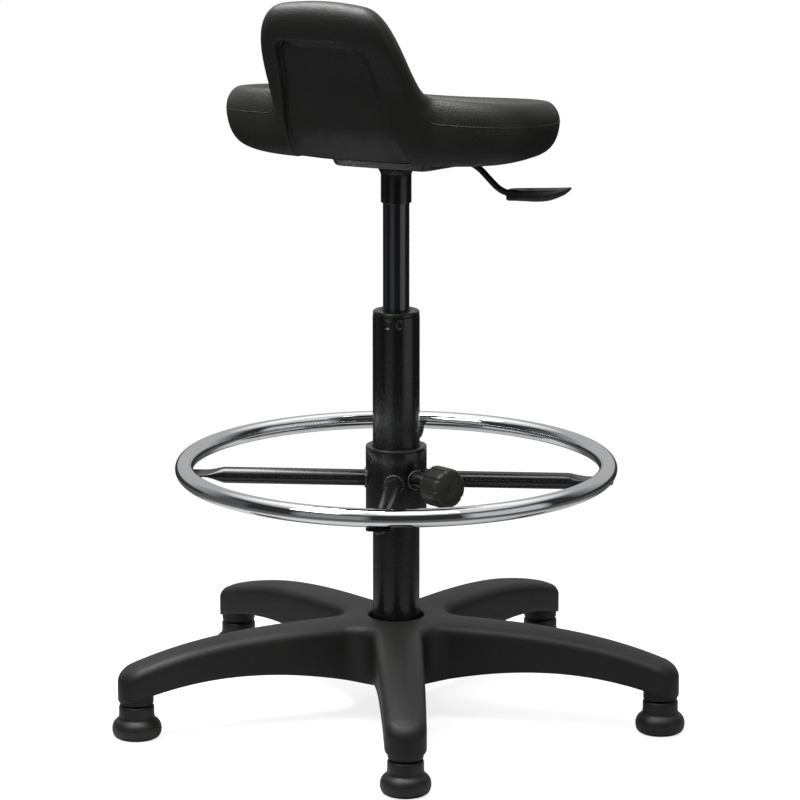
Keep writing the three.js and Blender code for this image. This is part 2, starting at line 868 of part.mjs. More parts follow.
const bushInner = columnRadius + pieceGap;
const bushOuter = bushInner + bushWall;
let collar = turned(
  ringProfile(collarBore, collarRadius, collarBottom, collarTop),
  fineSides,
);
const clampHole = alongX(turned(pinProfile(clampScrewRadius + looseGap, 0, clampBossEnd), screwSides));
const clampHolePlaced = clampHole.translate([0, 0, clampHeight]).rotate([0, 0, knobTurn]);
collar = collar.subtract(clampHolePlaced);
add("ring_collar", collar, paintBlack);
const flangeOuter = collarRadius;
const upperFlangeLow = collarTop + pieceGap;
add(
  "collar_bush_upper",
  turned(
    [
      [bushInner, collarTop - bushLength],
      [bushOuter, collarTop - bushLength],
      [bushOuter, upperFlangeLow],
      [flangeOuter, upperFlangeLow],
      [flangeOuter, upperFlangeLow + bushFlange],
      [bushInner, upperFlangeLow + bushFlange],
    ],
    fineSides,
  ),
  plasticBlack,
);
const lowerFlangeHigh = collarBottom - pieceGap;
add(
  "collar_bush_lower",
  turned(
    [
      [bushInner, lowerFlangeHigh - bushFlange],
      [flangeOuter, lowerFlangeHigh - bushFlange],
      [flangeOuter, lowerFlangeHigh],
      [bushOuter, lowerFlangeHigh],
      [bushOuter, collarBottom + bushLength],
      [bushInner, collarBottom + bushLength],
    ],
    fineSides,
  ),
  plasticBlack,
);

// A spoke: a tube whose outer end is pressed flat and lies under the ring.
const bladeTop = ringHeight - ringTubeRadius - pieceGap;
const bladeMiddle = bladeTop - bladeThickness / 2;
const spokeStart = collarRadius - cutOverrun;
const spokeSection = (place, flat) => {
  const halfWidth = spokeRadius + flat * (bladeHalfWidth - spokeRadius);
  const halfHeight = spokeRadius + flat * (bladeThickness / 2 - spokeRadius);
  const middle = spokeHeight + flat * (bladeMiddle - spokeHeight);
  const power = 1 - 0.72 * flat;
  const section = [];
  for (let i = 0; i < barSides; i++) {
    const angle = ((i + 0.5) * 2 * Math.PI) / barSides;
    const [c, s] = [Math.cos(angle), Math.sin(angle)];
    section.push([
      place,
      Math.sign(c) * halfWidth * Math.pow(Math.abs(c), power),
      middle + Math.sign(s) * halfHeight * Math.pow(Math.abs(s), power),
    ]);
  }
  return section;
};
const flatShares = [
  [0, 0],
  [0.25, 0.12],
  [0.5, 0.5],
  [0.75, 0.88],
  [1, 1],
];
const spokeRings = [spokeSection(spokeStart, 0)];
for (const [along, flat] of flatShares) {
  spokeRings.push(spokeSection(spokeFlatStart + along * (spokeFlatEnd - spokeFlatStart), flat));
}
spokeRings.push(spokeSection(spokeEnd, 1));
const spokeBore = alongX(
  turned(
    pinProfile(spokeRadius - spokeWall, spokeStart - cutOverrun, spokeFlatStart),
    smallSides,
  ),
).translate([0, 0, spokeHeight]);
const collarCut = turned(
  pinProfile(collarRadius + pieceGap, collarBottom, collarTop),
  fineSides,
).rotate([0, 0, -spokeTurn]);
const screwHole = turned(
  pinProfile(ringScrewRadius + pieceGap, bladeTop - cutOverrun, ringHeight),
  screwSides,
).translate([ringRadius, 0, 0]);
const spoke = lofted(spokeRings).subtract(spokeBore).subtract(screwHole);
const ringCircle = (radius, sides, turns) => {
  const torus = new THREE.TorusGeometry(ringRadius, radius, sides, turns);
  return solidOf(torus).translate([0, 0, ringHeight]);
};
let footRing = ringCircle(ringTubeRadius, 12, 60);
footRing = footRing.subtract(ringCircle(ringTubeRadius - ringTubeWall, 6, 40));
const screwHeadTop = bladeTop - bladeThickness - pieceGap;
for (let i = 0; i < spokeCount; i++) {
  const turn = spokeTurn + (i * 360) / spokeCount;
  footRing = footRing.subtract(screwHole.rotate([0, 0, turn]));
  const cut = collarCut.rotate([0, 0, (-i * 360) / spokeCount]);
  add(`ring_spoke_${i + 1}`, spoke.subtract(cut), paintBlack, turn);
  const screw = turned(
    [
      [0, screwHeadTop - ringScrewHeadHeight],
      [ringScrewHeadRadius * 0.7, screwHeadTop - ringScrewHeadHeight],
      [ringScrewHeadRadius, screwHeadTop - ringScrewHeadHeight / 2],
      [ringScrewHeadRadius, screwHeadTop],
      [ringScrewRadius, screwHeadTop],
      [ringScrewRadius, bladeTop + ringScrewReach],
      [0, bladeTop + ringScrewReach],
    ],
    screwSides,
  );
  add(`ring_screw_${i + 1}`, screw.translate([ringRadius, 0, 0]), steelBright, turn);
}
add("foot_ring", footRing, chrome);

// Clamp

let clampBoss = alongX(
  turned(
    ringProfile(
      clampScrewRadius + pieceGap,
      clampBossRadius,
      collarRadius - cutOverrun,
      clampBossEnd,
    ),
    plainSides,
  ),
).translate([0, 0, clampHeight]);
const bossCut = turned(
  pinProfile(collarRadius + pieceGap, collarBottom, collarTop),
  fineSides,
).rotate([0, 0, -knobTurn]);
clampBoss = clampBoss.subtract(bossCut);
add("clamp_boss", clampBoss, paintBlack, knobTurn);
const padStart = columnRadius + pieceGap;
const screwStart = padStart + clampPadThickness + pieceGap;
const screwEnd = knobStart + knobBoreDepth - pieceGap;
add(
  "clamp_pad",
  alongX(turned(pinProfile(clampScrewRadius, padStart, padStart + clampPadThickness), screwSides))
    .translate([0, 0, clampHeight]),
  bushWhite,
  knobTurn,
);
add(
  "clamp_screw",
  alongX(turned(pinProfile(clampScrewRadius, screwStart, screwEnd), screwSides)).translate([
    0,
    0,
    clampHeight,
  ]),
  steelBright,
  knobTurn,
);
const knobShape = (shrink) => {
  const outline = [];
  const steps = knobFluteCount * 4;
  for (let i = 0; i < steps; i++) {
    const angle = (i * 2 * Math.PI) / steps;
    const wave = (1 - Math.cos(knobFluteCount * angle)) / 2;
    const radius = knobRadius - shrink - knobFluteDepth * wave * wave;
    outline.push([radius * Math.cos(angle), radius * Math.sin(angle)]);
  }
  return outline;
};
const knobLayerShares = [
  [0, 1],
  [0.12, 0.3],
  [0.2, 0.05],
  [0.8, 0],
  [0.9, 0.25],
  [1, 1],
];
const knobRings = knobLayerShares.map(([along, shrink]) =>
  knobShape(shrink * knobRounding).map(([x, y]) => [x, y, along * knobLength]),
);
let knob = lofted(knobRings);
knob = knob.subtract(
  turned(
    pinProfile(clampScrewRadius + pieceGap, -cutOverrun, knobBoreDepth),
    screwSides,
  ),
);
knob = knob.subtract(
  turned(
    [
      [0, knobLength - knobDimpleDepth],
      [knobDimpleRadius * 0.8, knobLength - knobDimpleDepth],
      [knobDimpleRadius, knobLength + pieceGap],
      [0, knobLength + pieceGap],
    ],
    screwSides,
  ),
);
add(
  "clamp_knob",
  alongX(knob).translate([knobStart, 0, clampHeight]),
  plasticBlack,
  knobTurn,
);

// Seat plate, socket and lever

// The plate's plan, moved out by a distance.
const panOutline = (out) => [
  [plateRearHalf + out * 0.6, plateRear + out],
  [-plateRearHalf - out * 0.6, plateRear + out],
  [-plateSideHalf - out, -plateSideRear + out * 0.3],
  [-plateSideHalf - out, -plateSideFront - out * 0.4],
  [-plateFrontHalf - out * 0.5, -plateFront - out * 0.5],
  [plateFrontHalf + out * 0.5, -plateFront - out * 0.5],
  [plateSideHalf + out, -plateSideFront - out * 0.4],
  [plateSideHalf + out, -plateSideRear + out * 0.3],
];
const panLayer = (out, height) => panOutline(out).map(([x, y]) => [x, y, height]);
const seatPan = lofted([
  panLayer(-plateCorner, plateBottom),
  panLayer(0, plateBottom + plateCorner * 0.7),
  panLayer(plateFlare, flangeBottom),
  panLayer(plateFlare + plateFlange, flangeBottom),
  panLayer(plateFlare + plateFlange, plateTop),
  panLayer(plateFlare, plateTop),
]);
const panInside = lofted([
  panLayer(-plateCorner - plateSheet * 0.6, plateBottom + plateSheet),
  panLayer(-plateSheet, plateBottom + plateSheet + plateCorner * 0.7),
  panLayer(plateFlare - plateSheet, flangeBottom),
  panLayer(plateFlare - plateSheet, plateTop + cutOverrun),
]);
const tubeTaperAt = (height) =>
  tubeRadius - (tubeTaperDrop * Math.max(0, height - tubeTaperStart)) / tubeTaperLength;
let seatPlate = seatPan.subtract(panInside);
seatPlate = seatPlate.subtract(
  turned(
    pinProfile(socketRadius + pieceGap, plateBottom - cutOverrun, plateTop),
    plainSides,
  ),
);
seatPlate = seatPlate.subtract(
  block(
    [
      -plateSideHalf - plateFlare - plateFlange - cutOverrun,
      -leverNotchHalf,
      plateBottom + plateSheet,
    ],
    [-plateSideHalf + plateFlange, leverNotchHalf, plateTop + cutOverrun],
  ),
);
// Bolts stand on the flange, out from the middles of the four slanting edges.
const flangeMiddle = plateFlare + plateFlange / 2;
const outlineMiddles = panOutline(flangeMiddle);
const middleBetween = (a, b) => [(a[0] + b[0]) / 2, (a[1] + b[1]) / 2];
const boltPlaces = [
  middleBetween(outlineMiddles[0], outlineMiddles[7]),
  middleBetween(outlineMiddles[1], outlineMiddles[2]),
  middleBetween(outlineMiddles[3], outlineMiddles[4]),
  middleBetween(outlineMiddles[5], outlineMiddles[6]),
];
for (const [x, y] of boltPlaces) {
  const hole = turned(
    pinProfile(boltRadius + pieceGap, flangeBottom - cutOverrun, plateTop + cutOverrun),
    screwSides,
  );
  seatPlate = seatPlate.subtract(hole.translate([x, y, 0]));
}
add("seat_plate", seatPlate, paintBlack);
const plateUnderGap = plateBottom - pieceGap;
add(
  "taper_socket",
  turned(
    [
      [tubeRadius + pieceGap, socketBottom],
      [socketRadius, socketBottom],
      [socketRadius, plateUnderGap - socketWeldHeight],
      [socketRadius + socketWeld * 0.4, plateUnderGap - socketWeldHeight * 0.75],
      [socketRadius + socketWeld, plateUnderGap - socketWeldHeight * 0.5],
      [socketRadius + socketWeld, plateUnderGap],
      [socketRadius, plateUnderGap],
      [socketRadius, socketTop],
      [tubeTaperAt(tubeTop) + pieceGap, socketTop],
      [tubeTaperAt(tubeTop) + pieceGap, tubeTop],
      [tubeRadius + pieceGap, tubeTaperStart],
    ],
    plainSides,
  ),
  paintBlack,
);

// The lever's rod, drawn outwards from above the release pin.
const rodStart = new THREE.Vector3(leverInnerReach, 0, leverHeight);
const rodBendA = new THREE.Vector3(-leverBendStart, 0, leverHeight);
const rodBendB = new THREE.Vector3(-leverDropEnd, 0, leverGripAxis);
const gripSlope = gripRise / (gripEnd - gripStart);
const rodStop = gripStart + gripSocketDepth - pieceGap;
const rodEnd = new THREE.Vector3(
  -rodStop,
  0,
  leverGripAxis + gripSlope * (rodStop - leverDropEnd),
);
const towards = (from, to, distance) =>
  from.clone().add(to.clone().sub(from).setLength(distance));
const rodPath = new THREE.CurvePath();
rodPath.add(new THREE.LineCurve3(rodStart, towards(rodBendA, rodStart, leverBend)));
rodPath.add(
  new THREE.QuadraticBezierCurve3(
    towards(rodBendA, rodStart, leverBend),
    rodBendA,
    towards(rodBendA, rodBendB, leverBend),
  ),
);
rodPath.add(
  new THREE.LineCurve3(
    towards(rodBendA, rodBendB, leverBend),
    towards(rodBendB, rodBendA, leverBend),
  ),
);
rodPath.add(
  new THREE.QuadraticBezierCurve3(
    towards(rodBendB, rodBendA, leverBend),
    rodBendB,
    towards(rodBendB, rodEnd, leverBend),
  ),
);
rodPath.add(new THREE.LineCurve3(towards(rodBendB, rodEnd, leverBend), rodEnd));
// A round bar along a path in the XZ plane, with a ring of points at every bend point.
function roundBar(path, radius, sides) {
  const stops = [];
  path.curves.forEach((curve, k) => {
    const steps = curve.isLineCurve3 ? 1 : 4;
    for (let i = k ? 1 : 0; i <= steps; i++) {
      stops.push([curve.getPointAt(i / steps), curve.getTangentAt(i / steps)]);
    }
  });
  return lofted(
    stops.map(([place, tangent]) => {
      const section = [];
      for (let i = 0; i < sides; i++) {
        const angle = (i * 2 * Math.PI) / sides;
        const up = radius * Math.sin(angle);
        section.push([
          place.x - up * tangent.z,
          place.y + radius * Math.cos(angle),
          place.z + up * tangent.x,
        ]);
      }
      return section;
    }),
  );
}
const pivotPinReach = bracketHalfWidth + pivotPinEnd;
const pivotHole = turned(
  pinProfile(
    pivotPinRadius + pieceGap,
    -pivotPinReach - cutOverrun,
    pivotPinReach + cutOverrun,
  ),
  screwSides,
)
  .rotate([90, 0, 0])
  .translate([-leverPivot, 0, leverHeight]);
add(
  "lever_rod",
  roundBar(rodPath, leverRodRadius, screwSides).subtract(pivotHole),
  paintBlack,
);
const bracketLow = plateBottom + plateSheet + pieceGap;
let bracket = block(
  [-leverPivot - bracketHalfLength, -bracketHalfWidth, bracketLow],
  [-leverPivot + bracketHalfLength, bracketHalfWidth, leverHeight + bracketEarTop],
);
bracket = bracket.subtract(
  block(
    [
      -leverPivot - bracketHalfLength - cutOverrun,
      -bracketHalfWidth + bracketEarSheet,
      bracketLow + bracketSheet,
    ],
    [
      -leverPivot + bracketHalfLength + cutOverrun,
      bracketHalfWidth - bracketEarSheet,
      leverHeight + bracketEarTop + cutOverrun,
    ],
  ),
);
add("lever_bracket", bracket.subtract(pivotHole), steelBright);
add(
  "lever_pivot_pin",
  turned(pinProfile(pivotPinRadius, -pivotPinReach, pivotPinReach), screwSides)
    .rotate([90, 0, 0])
    .translate([-leverPivot, 0, leverHeight]),
  steelBright,
);
// The grip: a paddle, thick at its root, whose nose is turned up and rounded in plan.
const gripRings = gripShares.map(([along, width, thick, lift]) => {
  const place = gripStart + along * (gripEnd - gripStart);
  const halfWidth = gripHalfWidth * width;
  const half = Math.max(gripRootThickness * thick, gripTipThickness) / 2;
  const middle = leverGripAxis + gripSlope * (gripStart - leverDropEnd) + lift * gripRise;
  const section = [];
  for (let i = 0; i < barSides; i++) {
    const angle = ((i + 0.5) * 2 * Math.PI) / barSides;
    const [c, s] = [Math.cos(angle), Math.sin(angle)];
    section.push([
      -place,
      Math.sign(c) * halfWidth * Math.pow(Math.abs(c), 0.6),
      middle + Math.sign(s) * half * Math.pow(Math.abs(s), 0.6),
    ]);
  }
  return section;
});
const gripSocket = roundBar(
  (() => {
    const path = new THREE.CurvePath();
    const past = towards(rodBendB, rodEnd, leverBend);
    const stop = rodEnd.clone().add(rodEnd.clone().sub(past).setLength(pieceGap));
    path.add(new THREE.LineCurve3(past, stop));
    return path;
  })(),
  leverRodRadius + pieceGap,
  screwSides,
);
add("lever_grip", lofted(gripRings).subtract(gripSocket), plasticBlack);

// Seat

// A clamped cubic curve through the plane of a section, drawn from its control points.
function curveThrough(points, shares) {
  const mirror = (a, b) => [2 * a[0] - b[0], 2 * a[1] - b[1]];
  const ends = points.length - 1;
  const all = [
    mirror(points[0], points[1]),
    ...points,
    mirror(points[ends], points[ends - 1]),
  ];
  const made = [];
  for (const share of shares) {
    const u = share * ends;
    const i = Math.min(Math.floor(u), ends - 1);
    const t = u - i;
    const weights = [
      Math.pow(1 - t, 3),
      3 * t * t * t - 6 * t * t + 4,
      -3 * t * t * t + 3 * t * t + 3 * t + 1,
      t * t * t,
    ];
    const sum = (axis) =>
      weights.reduce((total, weight, n) => total + weight * all[i + n][axis], 0) / 6;
    made.push([sum(0), sum(1)]);
  }
  return made;
}

// A soft step from 0 to 1.
const easingShares = [10, -15, 6];
const easing = (x) => {
  const t = Math.min(Math.max(x, 0), 1);
  return easingShares.reduce((sum, share, i) => sum + share * Math.pow(t, i + 3), 0);
};

// Sections of the seat as pairs: how far out of the plan's reach, and how high, where 0 is
// the lower edge, 1 the rim and 2 the back's top.
const rimSectionShares = [
  [0, 0.45],
  [0.25, 0.46],
  [0.5, 0.5],
  [0.7, 0.66],
  [0.82, 0.9],
  [0.89, 1.03],
  [0.95, 1.04],
  [1, 0.9],
  [1.018, 0.7],
  [1, 0.35],
  [0.938, 0.06],
  [0.79, -0.04],
  [0.76, 0],
  [0.7, 0],
  [0, 0],
];
// How far the inner part of a section has left the dish's lowest height for its own.
const dishShares = [0, 0.14, 0.5];
const backHeightShares = [
  0.45, 0.46, 0.5, 0.74, 1.1, 1.55, 2.01, 1.94, 1.6, 1.12, 0.45, -0.02, 0, 0, 0,
];
const frontFaceAt = (share) =>
  backFootReach - backFootHalf + share * (backTopReach - backTopHalf - backFootReach + backFootHalf);
const rearFaceAt = (share) =>
  backFootReach + backFootHalf + share * (backTopReach + backTopHalf - backFootReach - backFootHalf);
const backReaches = [
  0,
  0.25 * seatRearDepth,
  0.5 * seatRearDepth,
  frontFaceAt(-0.25) - 0.06 * seatRearDepth,
  frontFaceAt(0.1),
  frontFaceAt(0.55) + backFrontBow,
  frontFaceAt(1),
  rearFaceAt(1),
  rearFaceAt(0.6) + backRearBow,
  rearFaceAt(0.12),
  backBlockReach,
  0.92 * seatRearDepth,
  0.8 * seatRearDepth,
  0.7 * seatRearDepth,
  0,
];

function seatSection(angle) {
  const sine = Math.sin(angle);
  const cosine = Math.cos(angle);
  const off = Math.abs(Math.atan2(sine, cosine)) / radians;
  const [power, depth] =
    cosine > 0 ? [seatRearPower, seatRearDepth] : [seatFrontPower, seatFrontDepth];
  const reach = Math.pow(
    Math.pow(Math.abs(sine / seatHalfWidth), power) +
      Math.pow(Math.abs(cosine / depth), power),
    -1 / power,
  );
  const lift = 1 - easing((off - backFlankStart) / (backFlankEnd - backFlankStart));
  const rearward = (1 + cosine) / 2;
  const rim = rimFrontHeight + rearward * (rimRearHeight - rimFrontHeight);
  const low =
    lowerEdgeFrontHeight + rearward * (lowerEdgeRearHeight - lowerEdgeFrontHeight);
  const archDrop = backArchShare * Math.pow(Math.min(off, 30) / 30, 2);
  const top = backTopHeight - (backTopHeight - rim) * archDrop;
  const heightAt = (share) =>
    low + Math.min(share, 1) * (rim - low) + Math.max(share - 1, 0) * (top - rim);
  const controls = rimSectionShares.map(([out, high], i) => {
    const sideHeight = heightAt(high);
    const backHeight = heightAt(backHeightShares[i]);
    const flat = i > 11;
    const own = flat ? seatUnderside : sideHeight + lift * (backHeight - sideHeight);
    const share = i < dishShares.length ? dishShares[i] : 1;
    return [
      reach * (out + lift * (backReaches[i] / seatRearDepth - out)),
      dishHeight + share * (own - dishHeight),
    ];
  });
  return curveThrough(controls, [0, ...seatRowShares, 1]);
}

function seatBody() {
  const turns = [
    ...seatSectionTurns,
    180,
    ...seatSectionTurns.slice(1).reverse().map((turn) => 360 - turn),
  ];
  const rowCount = seatRowShares.length;
  const places = [];
  const faces = [];
  let ends = null;
  for (const turn of turns) {
    const angle = turn * radians;
    const section = seatSection(angle);
    ends = [section[0], section[rowCount + 1]];
    for (const [out, high] of section.slice(1, -1)) {
      places.push([out * Math.sin(angle), out * Math.cos(angle), high]);
    }
  }
  const topMiddle = places.length;
  places.push([0, 0, ends[0][1]], [0, 0, ends[1][1]]);
  for (let i = 0; i < turns.length; i++) {
    const here = i * rowCount;
    const next = ((i + 1) % turns.length) * rowCount;
    faces.push(topMiddle, here, next);
    faces.push(topMiddle + 1, next + rowCount - 1, here + rowCount - 1);
    for (let j = 0; j + 1 < rowCount; j++) {
      faces.push(here + j, here + j + 1, next + j + 1);
      faces.push(here + j, next + j + 1, next + j);
    }
  }
  return solidOf(meshFrom(places, faces));
}

// The board inside the moulding is a rounded oblong that reaches past the plate's flange.
const boardPower = 0.8;
function boardSolid(grow, low, high) {
  const rings = [low, high].map((height) => {
    const ring = [];
    for (let i = 0; i < boardSides; i++) {
      const angle = (i * 2 * Math.PI) / boardSides;
      const [sine, cosine] = [Math.sin(angle), Math.cos(angle)];
      const x = Math.sign(sine) * boardHalfWidth * Math.pow(Math.abs(sine), boardPower);
      const y = Math.sign(cosine) * boardHalfDepth * Math.pow(Math.abs(cosine), boardPower);
      const longer = 1 + grow / Math.hypot(x, y);
      ring.push([x * longer, y * longer, height]);
    }
    return ring;
  });
  return lofted(rings);
}
const moulding = seatBody().subtract(
  boardSolid(pieceGap, seatUnderside - cutOverrun, boardTop + pieceGap),
);
add("seat_moulding", moulding, foamBlack);
let board = boardSolid(0, seatUnderside, boardTop);
const tNutRadius = boltRadius + pieceGap + tNutWall;
const tNutTop = boardTop - pieceGap;
const tNutStep = tNutTop - tNutFlange;
for (const [x, y] of boltPlaces) {
  const hole = turned(
    pinProfile(tNutRadius + pieceGap, seatUnderside - cutOverrun, boardTop + cutOverrun),
    screwSides,
  );
  const step = turned(
    pinProfile(tNutFlangeRadius + pieceGap, tNutStep - pieceGap, boardTop + cutOverrun),
    smallSides,
  );
  board = board.subtract(hole.translate([x, y, 0])).subtract(step.translate([x, y, 0]));
}
add("insert_board", board, plywood);
boltPlaces.forEach(([x, y], i) => {
  const headTop = flangeBottom - pieceGap;
  const headLow = headTop - boltHeadHeight;
  const head = turned(pinProfile(boltHeadRadius, headLow, headTop), 6);
  const shank = turned(pinProfile(boltRadius, headLow, tNutTop - pieceGap), screwSides);
  const bolt = add(`seat_bolt_${i + 1}`, head.add(shank), steelBright);
  bolt.position.set(x, y, 0);
  const tNut = turned(
    [
      [boltRadius + pieceGap, tNutTop - tNutLength],
      [tNutRadius, tNutTop - tNutLength],
      [tNutRadius, tNutStep],
      [tNutFlangeRadius, tNutStep],
      [tNutFlangeRadius, tNutTop],
      [boltRadius + pieceGap, tNutTop],
    ],
    screwSides,
  );
  const nut = add(`t_nut_${i + 1}`, tNut, steelBright);
  nut.position.set(x, y, 0);
});

export default root;
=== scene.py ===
"""Perch stool with a dished seat, a gas lift, a sliding foot ring and a five-legged base.

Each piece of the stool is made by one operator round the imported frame. Shapes are drawn in
millimetres from the column's axis, and brought to metres and to their place as they are
finished.
"""

import math

import bmesh  # noqa: E402
import bpy  # noqa: E402
from bpy.props import FloatProperty, FloatVectorProperty, PointerProperty  # noqa: E402
from mathutils import Matrix, Vector, noise  # noqa: E402


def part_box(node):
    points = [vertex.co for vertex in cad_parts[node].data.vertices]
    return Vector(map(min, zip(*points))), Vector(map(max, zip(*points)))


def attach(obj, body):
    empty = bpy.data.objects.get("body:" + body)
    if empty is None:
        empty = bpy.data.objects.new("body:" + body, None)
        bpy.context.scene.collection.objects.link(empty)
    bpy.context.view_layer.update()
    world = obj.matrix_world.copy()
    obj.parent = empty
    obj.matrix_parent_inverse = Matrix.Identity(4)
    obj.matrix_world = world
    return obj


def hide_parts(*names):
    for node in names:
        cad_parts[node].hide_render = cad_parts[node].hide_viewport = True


bl_info = {
    "name": "Perch stool",
    "version": (1, 0, 0),
    "blender": (4, 5, 0),
    "location": "View3D > Sidebar > Stool",
    "description": "Builds a perch stool with a gas lift and a foot ring",
    "category": "Add Mesh",
}

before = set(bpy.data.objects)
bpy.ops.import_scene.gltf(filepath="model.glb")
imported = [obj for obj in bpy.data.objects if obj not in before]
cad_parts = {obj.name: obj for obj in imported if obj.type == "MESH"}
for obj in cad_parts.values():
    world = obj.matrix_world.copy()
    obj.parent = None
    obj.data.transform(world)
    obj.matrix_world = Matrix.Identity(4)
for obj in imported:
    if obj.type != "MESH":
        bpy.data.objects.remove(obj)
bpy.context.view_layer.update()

MM = 0.001
WELD = 2e-4  # millimetres


def box_mm(node):
    """The lowest and highest corners of a node, in millimetres."""
    low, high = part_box(node)
    return low / MM, high / MM


def middle_height(node):
    """The height of a node's middle, in millimetres."""
    low, high = box_mm(node)
    return (low.z + high.z) / 2


COLUMN_LOW, COLUMN_HIGH = box_mm("column_tube")
AXIS = Vector(((COLUMN_LOW.x + COLUMN_HIGH.x) / 2, (COLUMN_LOW.y + COLUMN_HIGH.y) / 2, 0))
COLUMN_RADIUS = (COLUMN_HIGH.x - COLUMN_LOW.x) / 2
COLUMN_BOTTOM, COLUMN_TOP = COLUMN_LOW.z, COLUMN_HIGH.z
TUBE_LOW, TUBE_HIGH = box_mm("pressure_tube")
TUBE_RADIUS = (TUBE_HIGH.x - TUBE_LOW.x) / 2
RING_LOW, RING_HIGH = box_mm("foot_ring")
RING_TUBE = (RING_HIGH.z - RING_LOW.z) / 2
RING_RADIUS = (RING_HIGH.x - RING_LOW.x) / 2 - RING_TUBE
RING_HEIGHT = (RING_HIGH.z + RING_LOW.z) / 2
COLLAR_LOW, COLLAR_HIGH = box_mm("ring_collar")
COLLAR_RADIUS = (COLLAR_HIGH.x - COLLAR_LOW.x) / 2
PLATE_LOW, PLATE_HIGH = box_mm("seat_plate")
CLAMP_HEIGHT = middle_height("clamp_screw")
GAP = 0.3

# Directions about the column, in degrees
LEG_COUNT = 5
LEG_TURNS = [116.9 + k * 360 / LEG_COUNT for k in range(LEG_COUNT)]
SPOKE_TURNS = [20.6 + k * 90 for k in range(4)]
KNOB_TURN = 155.6


# Panel values


def length(label, description, default):
    """A length that a user may change, given in millimetres."""
    return FloatProperty(name=label, description=description, default=default * MM, unit="LENGTH")


def colour(label, description, default):
    """A colour that a user may change."""
    return FloatVectorProperty(name=label, description=description, default=default,
                               subtype="COLOR", min=0, max=1)


class StoolSizes(bpy.types.PropertyGroup):
    """Sizes that a user may change."""

    leg_rounding: length("Leg edge rounding", "Radius along the upper edges of the legs", 11)
    panel_depth: length("Back panel depth", "How far the panel behind the back is sunk", 6.5)
    parting_ridge: length("Parting ridge", "Height of the moulding's parting line", 0.45)
    flute_depth: length("Knob flutes", "Depth of the hollows round the knob", 1.35)
    pebble: length("Seat grain", "Width of one pebble of the seat's grain", 1.1)
    spark: length("Base grain", "Width of one grain of the base's texture", 0.8)


class StoolFinishes(bpy.types.PropertyGroup):
    """Colours that a user may change."""

    foam: colour("Seat foam", "Colour of the moulded seat", (0.016, 0.016, 0.0145))
    nylon: colour("Base nylon", "Colour of the star base", (0.012, 0.012, 0.0112))
    plastic: colour("Small plastic parts", "Colour of knob and grip", (0.018, 0.018, 0.0155))
    paint: colour("Black paint", "Colour of the painted steel", (0.006, 0.006, 0.006))
    tube: colour("Gas tube", "Colour of the gas spring's tube", (0.011, 0.012, 0.016))
    chrome: colour("Chrome", "Colour of the foot ring", (0.84, 0.85, 0.87))
    zinc: colour("Zinc", "Colour of the plated screws and inner steel", (0.52, 0.53, 0.53))


# Node trees


class Tree:
    """Short calls for one node tree."""

    def __init__(self, tree):
        self.tree = tree

    def fill(self, sockets, values):
        """Links or sets input sockets, by their names or numbers."""
        for key, value in values.items():
            if isinstance(value, bpy.types.NodeSocket):
                self.tree.links.new(value, sockets[key])
            else:
                sockets[key].default_value = value

    def add(self, kind, inputs=None, **settings):
        """Adds a node, with its settings and its input values or links."""
        node = self.tree.nodes.new(kind)
        for key, value in settings.items():
            setattr(node, key, value)
        self.fill(node.inputs, inputs or {})
        return node

    def math(self, operation, *values):
        """A Math node's result."""
        return self.add("ShaderNodeMath", dict(enumerate(values)), operation=operation).outputs[0]

    def vector(self, operation, output, *values):
        """One of a Vector Math node's results."""
        node = self.add("ShaderNodeVectorMath", dict(enumerate(values)), operation=operation)
        return node.outputs[output]

    def place(self):
        """The object's own coordinates."""
        return self.add("ShaderNodeTexCoord").outputs["Object"]

    def noise(self, place, scale, **inputs):
        """A noise texture's value."""
        inputs = {"Vector": place, "Scale": scale, **inputs}
        return self.add("ShaderNodeTexNoise", inputs).outputs["Fac"]

    def group(self, tree, **inputs):
        """A group node's outputs."""
        return self.add("ShaderNodeGroup", inputs, node_tree=tree).outputs

    def relief(self, height, strength, distance):
        """A bumped normal."""
        inputs = {"Height": height, "Strength": strength, "Distance": distance}
        return self.add("ShaderNodeBump", inputs).outputs["Normal"]

    def spread(self, value, low, high, to_low=0.0, to_high=1.0):
        """A value carried from one range to another, and held there."""
        names = ("Value", "From Min", "From Max", "To Min", "To Max")
        inputs = dict(zip(names, (value, low, high, to_low, to_high)))
        return self.add("ShaderNodeMapRange", inputs).outputs["Result"]

    def blend(self, factor, first, second):
        """A colour between two colours."""
        node = self.add("ShaderNodeMix", data_type="RGBA")
        sockets = {socket.identifier: socket for socket in node.inputs}
        self.fill(sockets, {"Factor_Float": factor, "A_Color": first, "B_Color": second})
        return next(s for s in node.outputs if s.identifier == "Result_Color")


def node_group(name, width, outputs, build):
    """A shader node group: a place and the pattern's width go in, and values come out."""
    found = bpy.data.node_groups.get(name)
    if found:
        return found
    tree = bpy.data.node_groups.new(name, "ShaderNodeTree")
    face = tree.interface
    face.new_socket(name="Vector", in_out="INPUT", socket_type="NodeSocketVector")
    socket = face.new_socket(name="Width", in_out="INPUT", socket_type="NodeSocketFloat")
    socket.default_value = width
    for label in outputs:
        face.new_socket(name=label, in_out="OUTPUT", socket_type="NodeSocketFloat")
    maker = Tree(tree)
    entry = maker.add("NodeGroupInput").outputs
    scale = maker.math("DIVIDE", 1.0, entry["Width"])
    maker.fill(maker.add("NodeGroupOutput").inputs, build(maker, entry["Vector"], scale))
    return tree


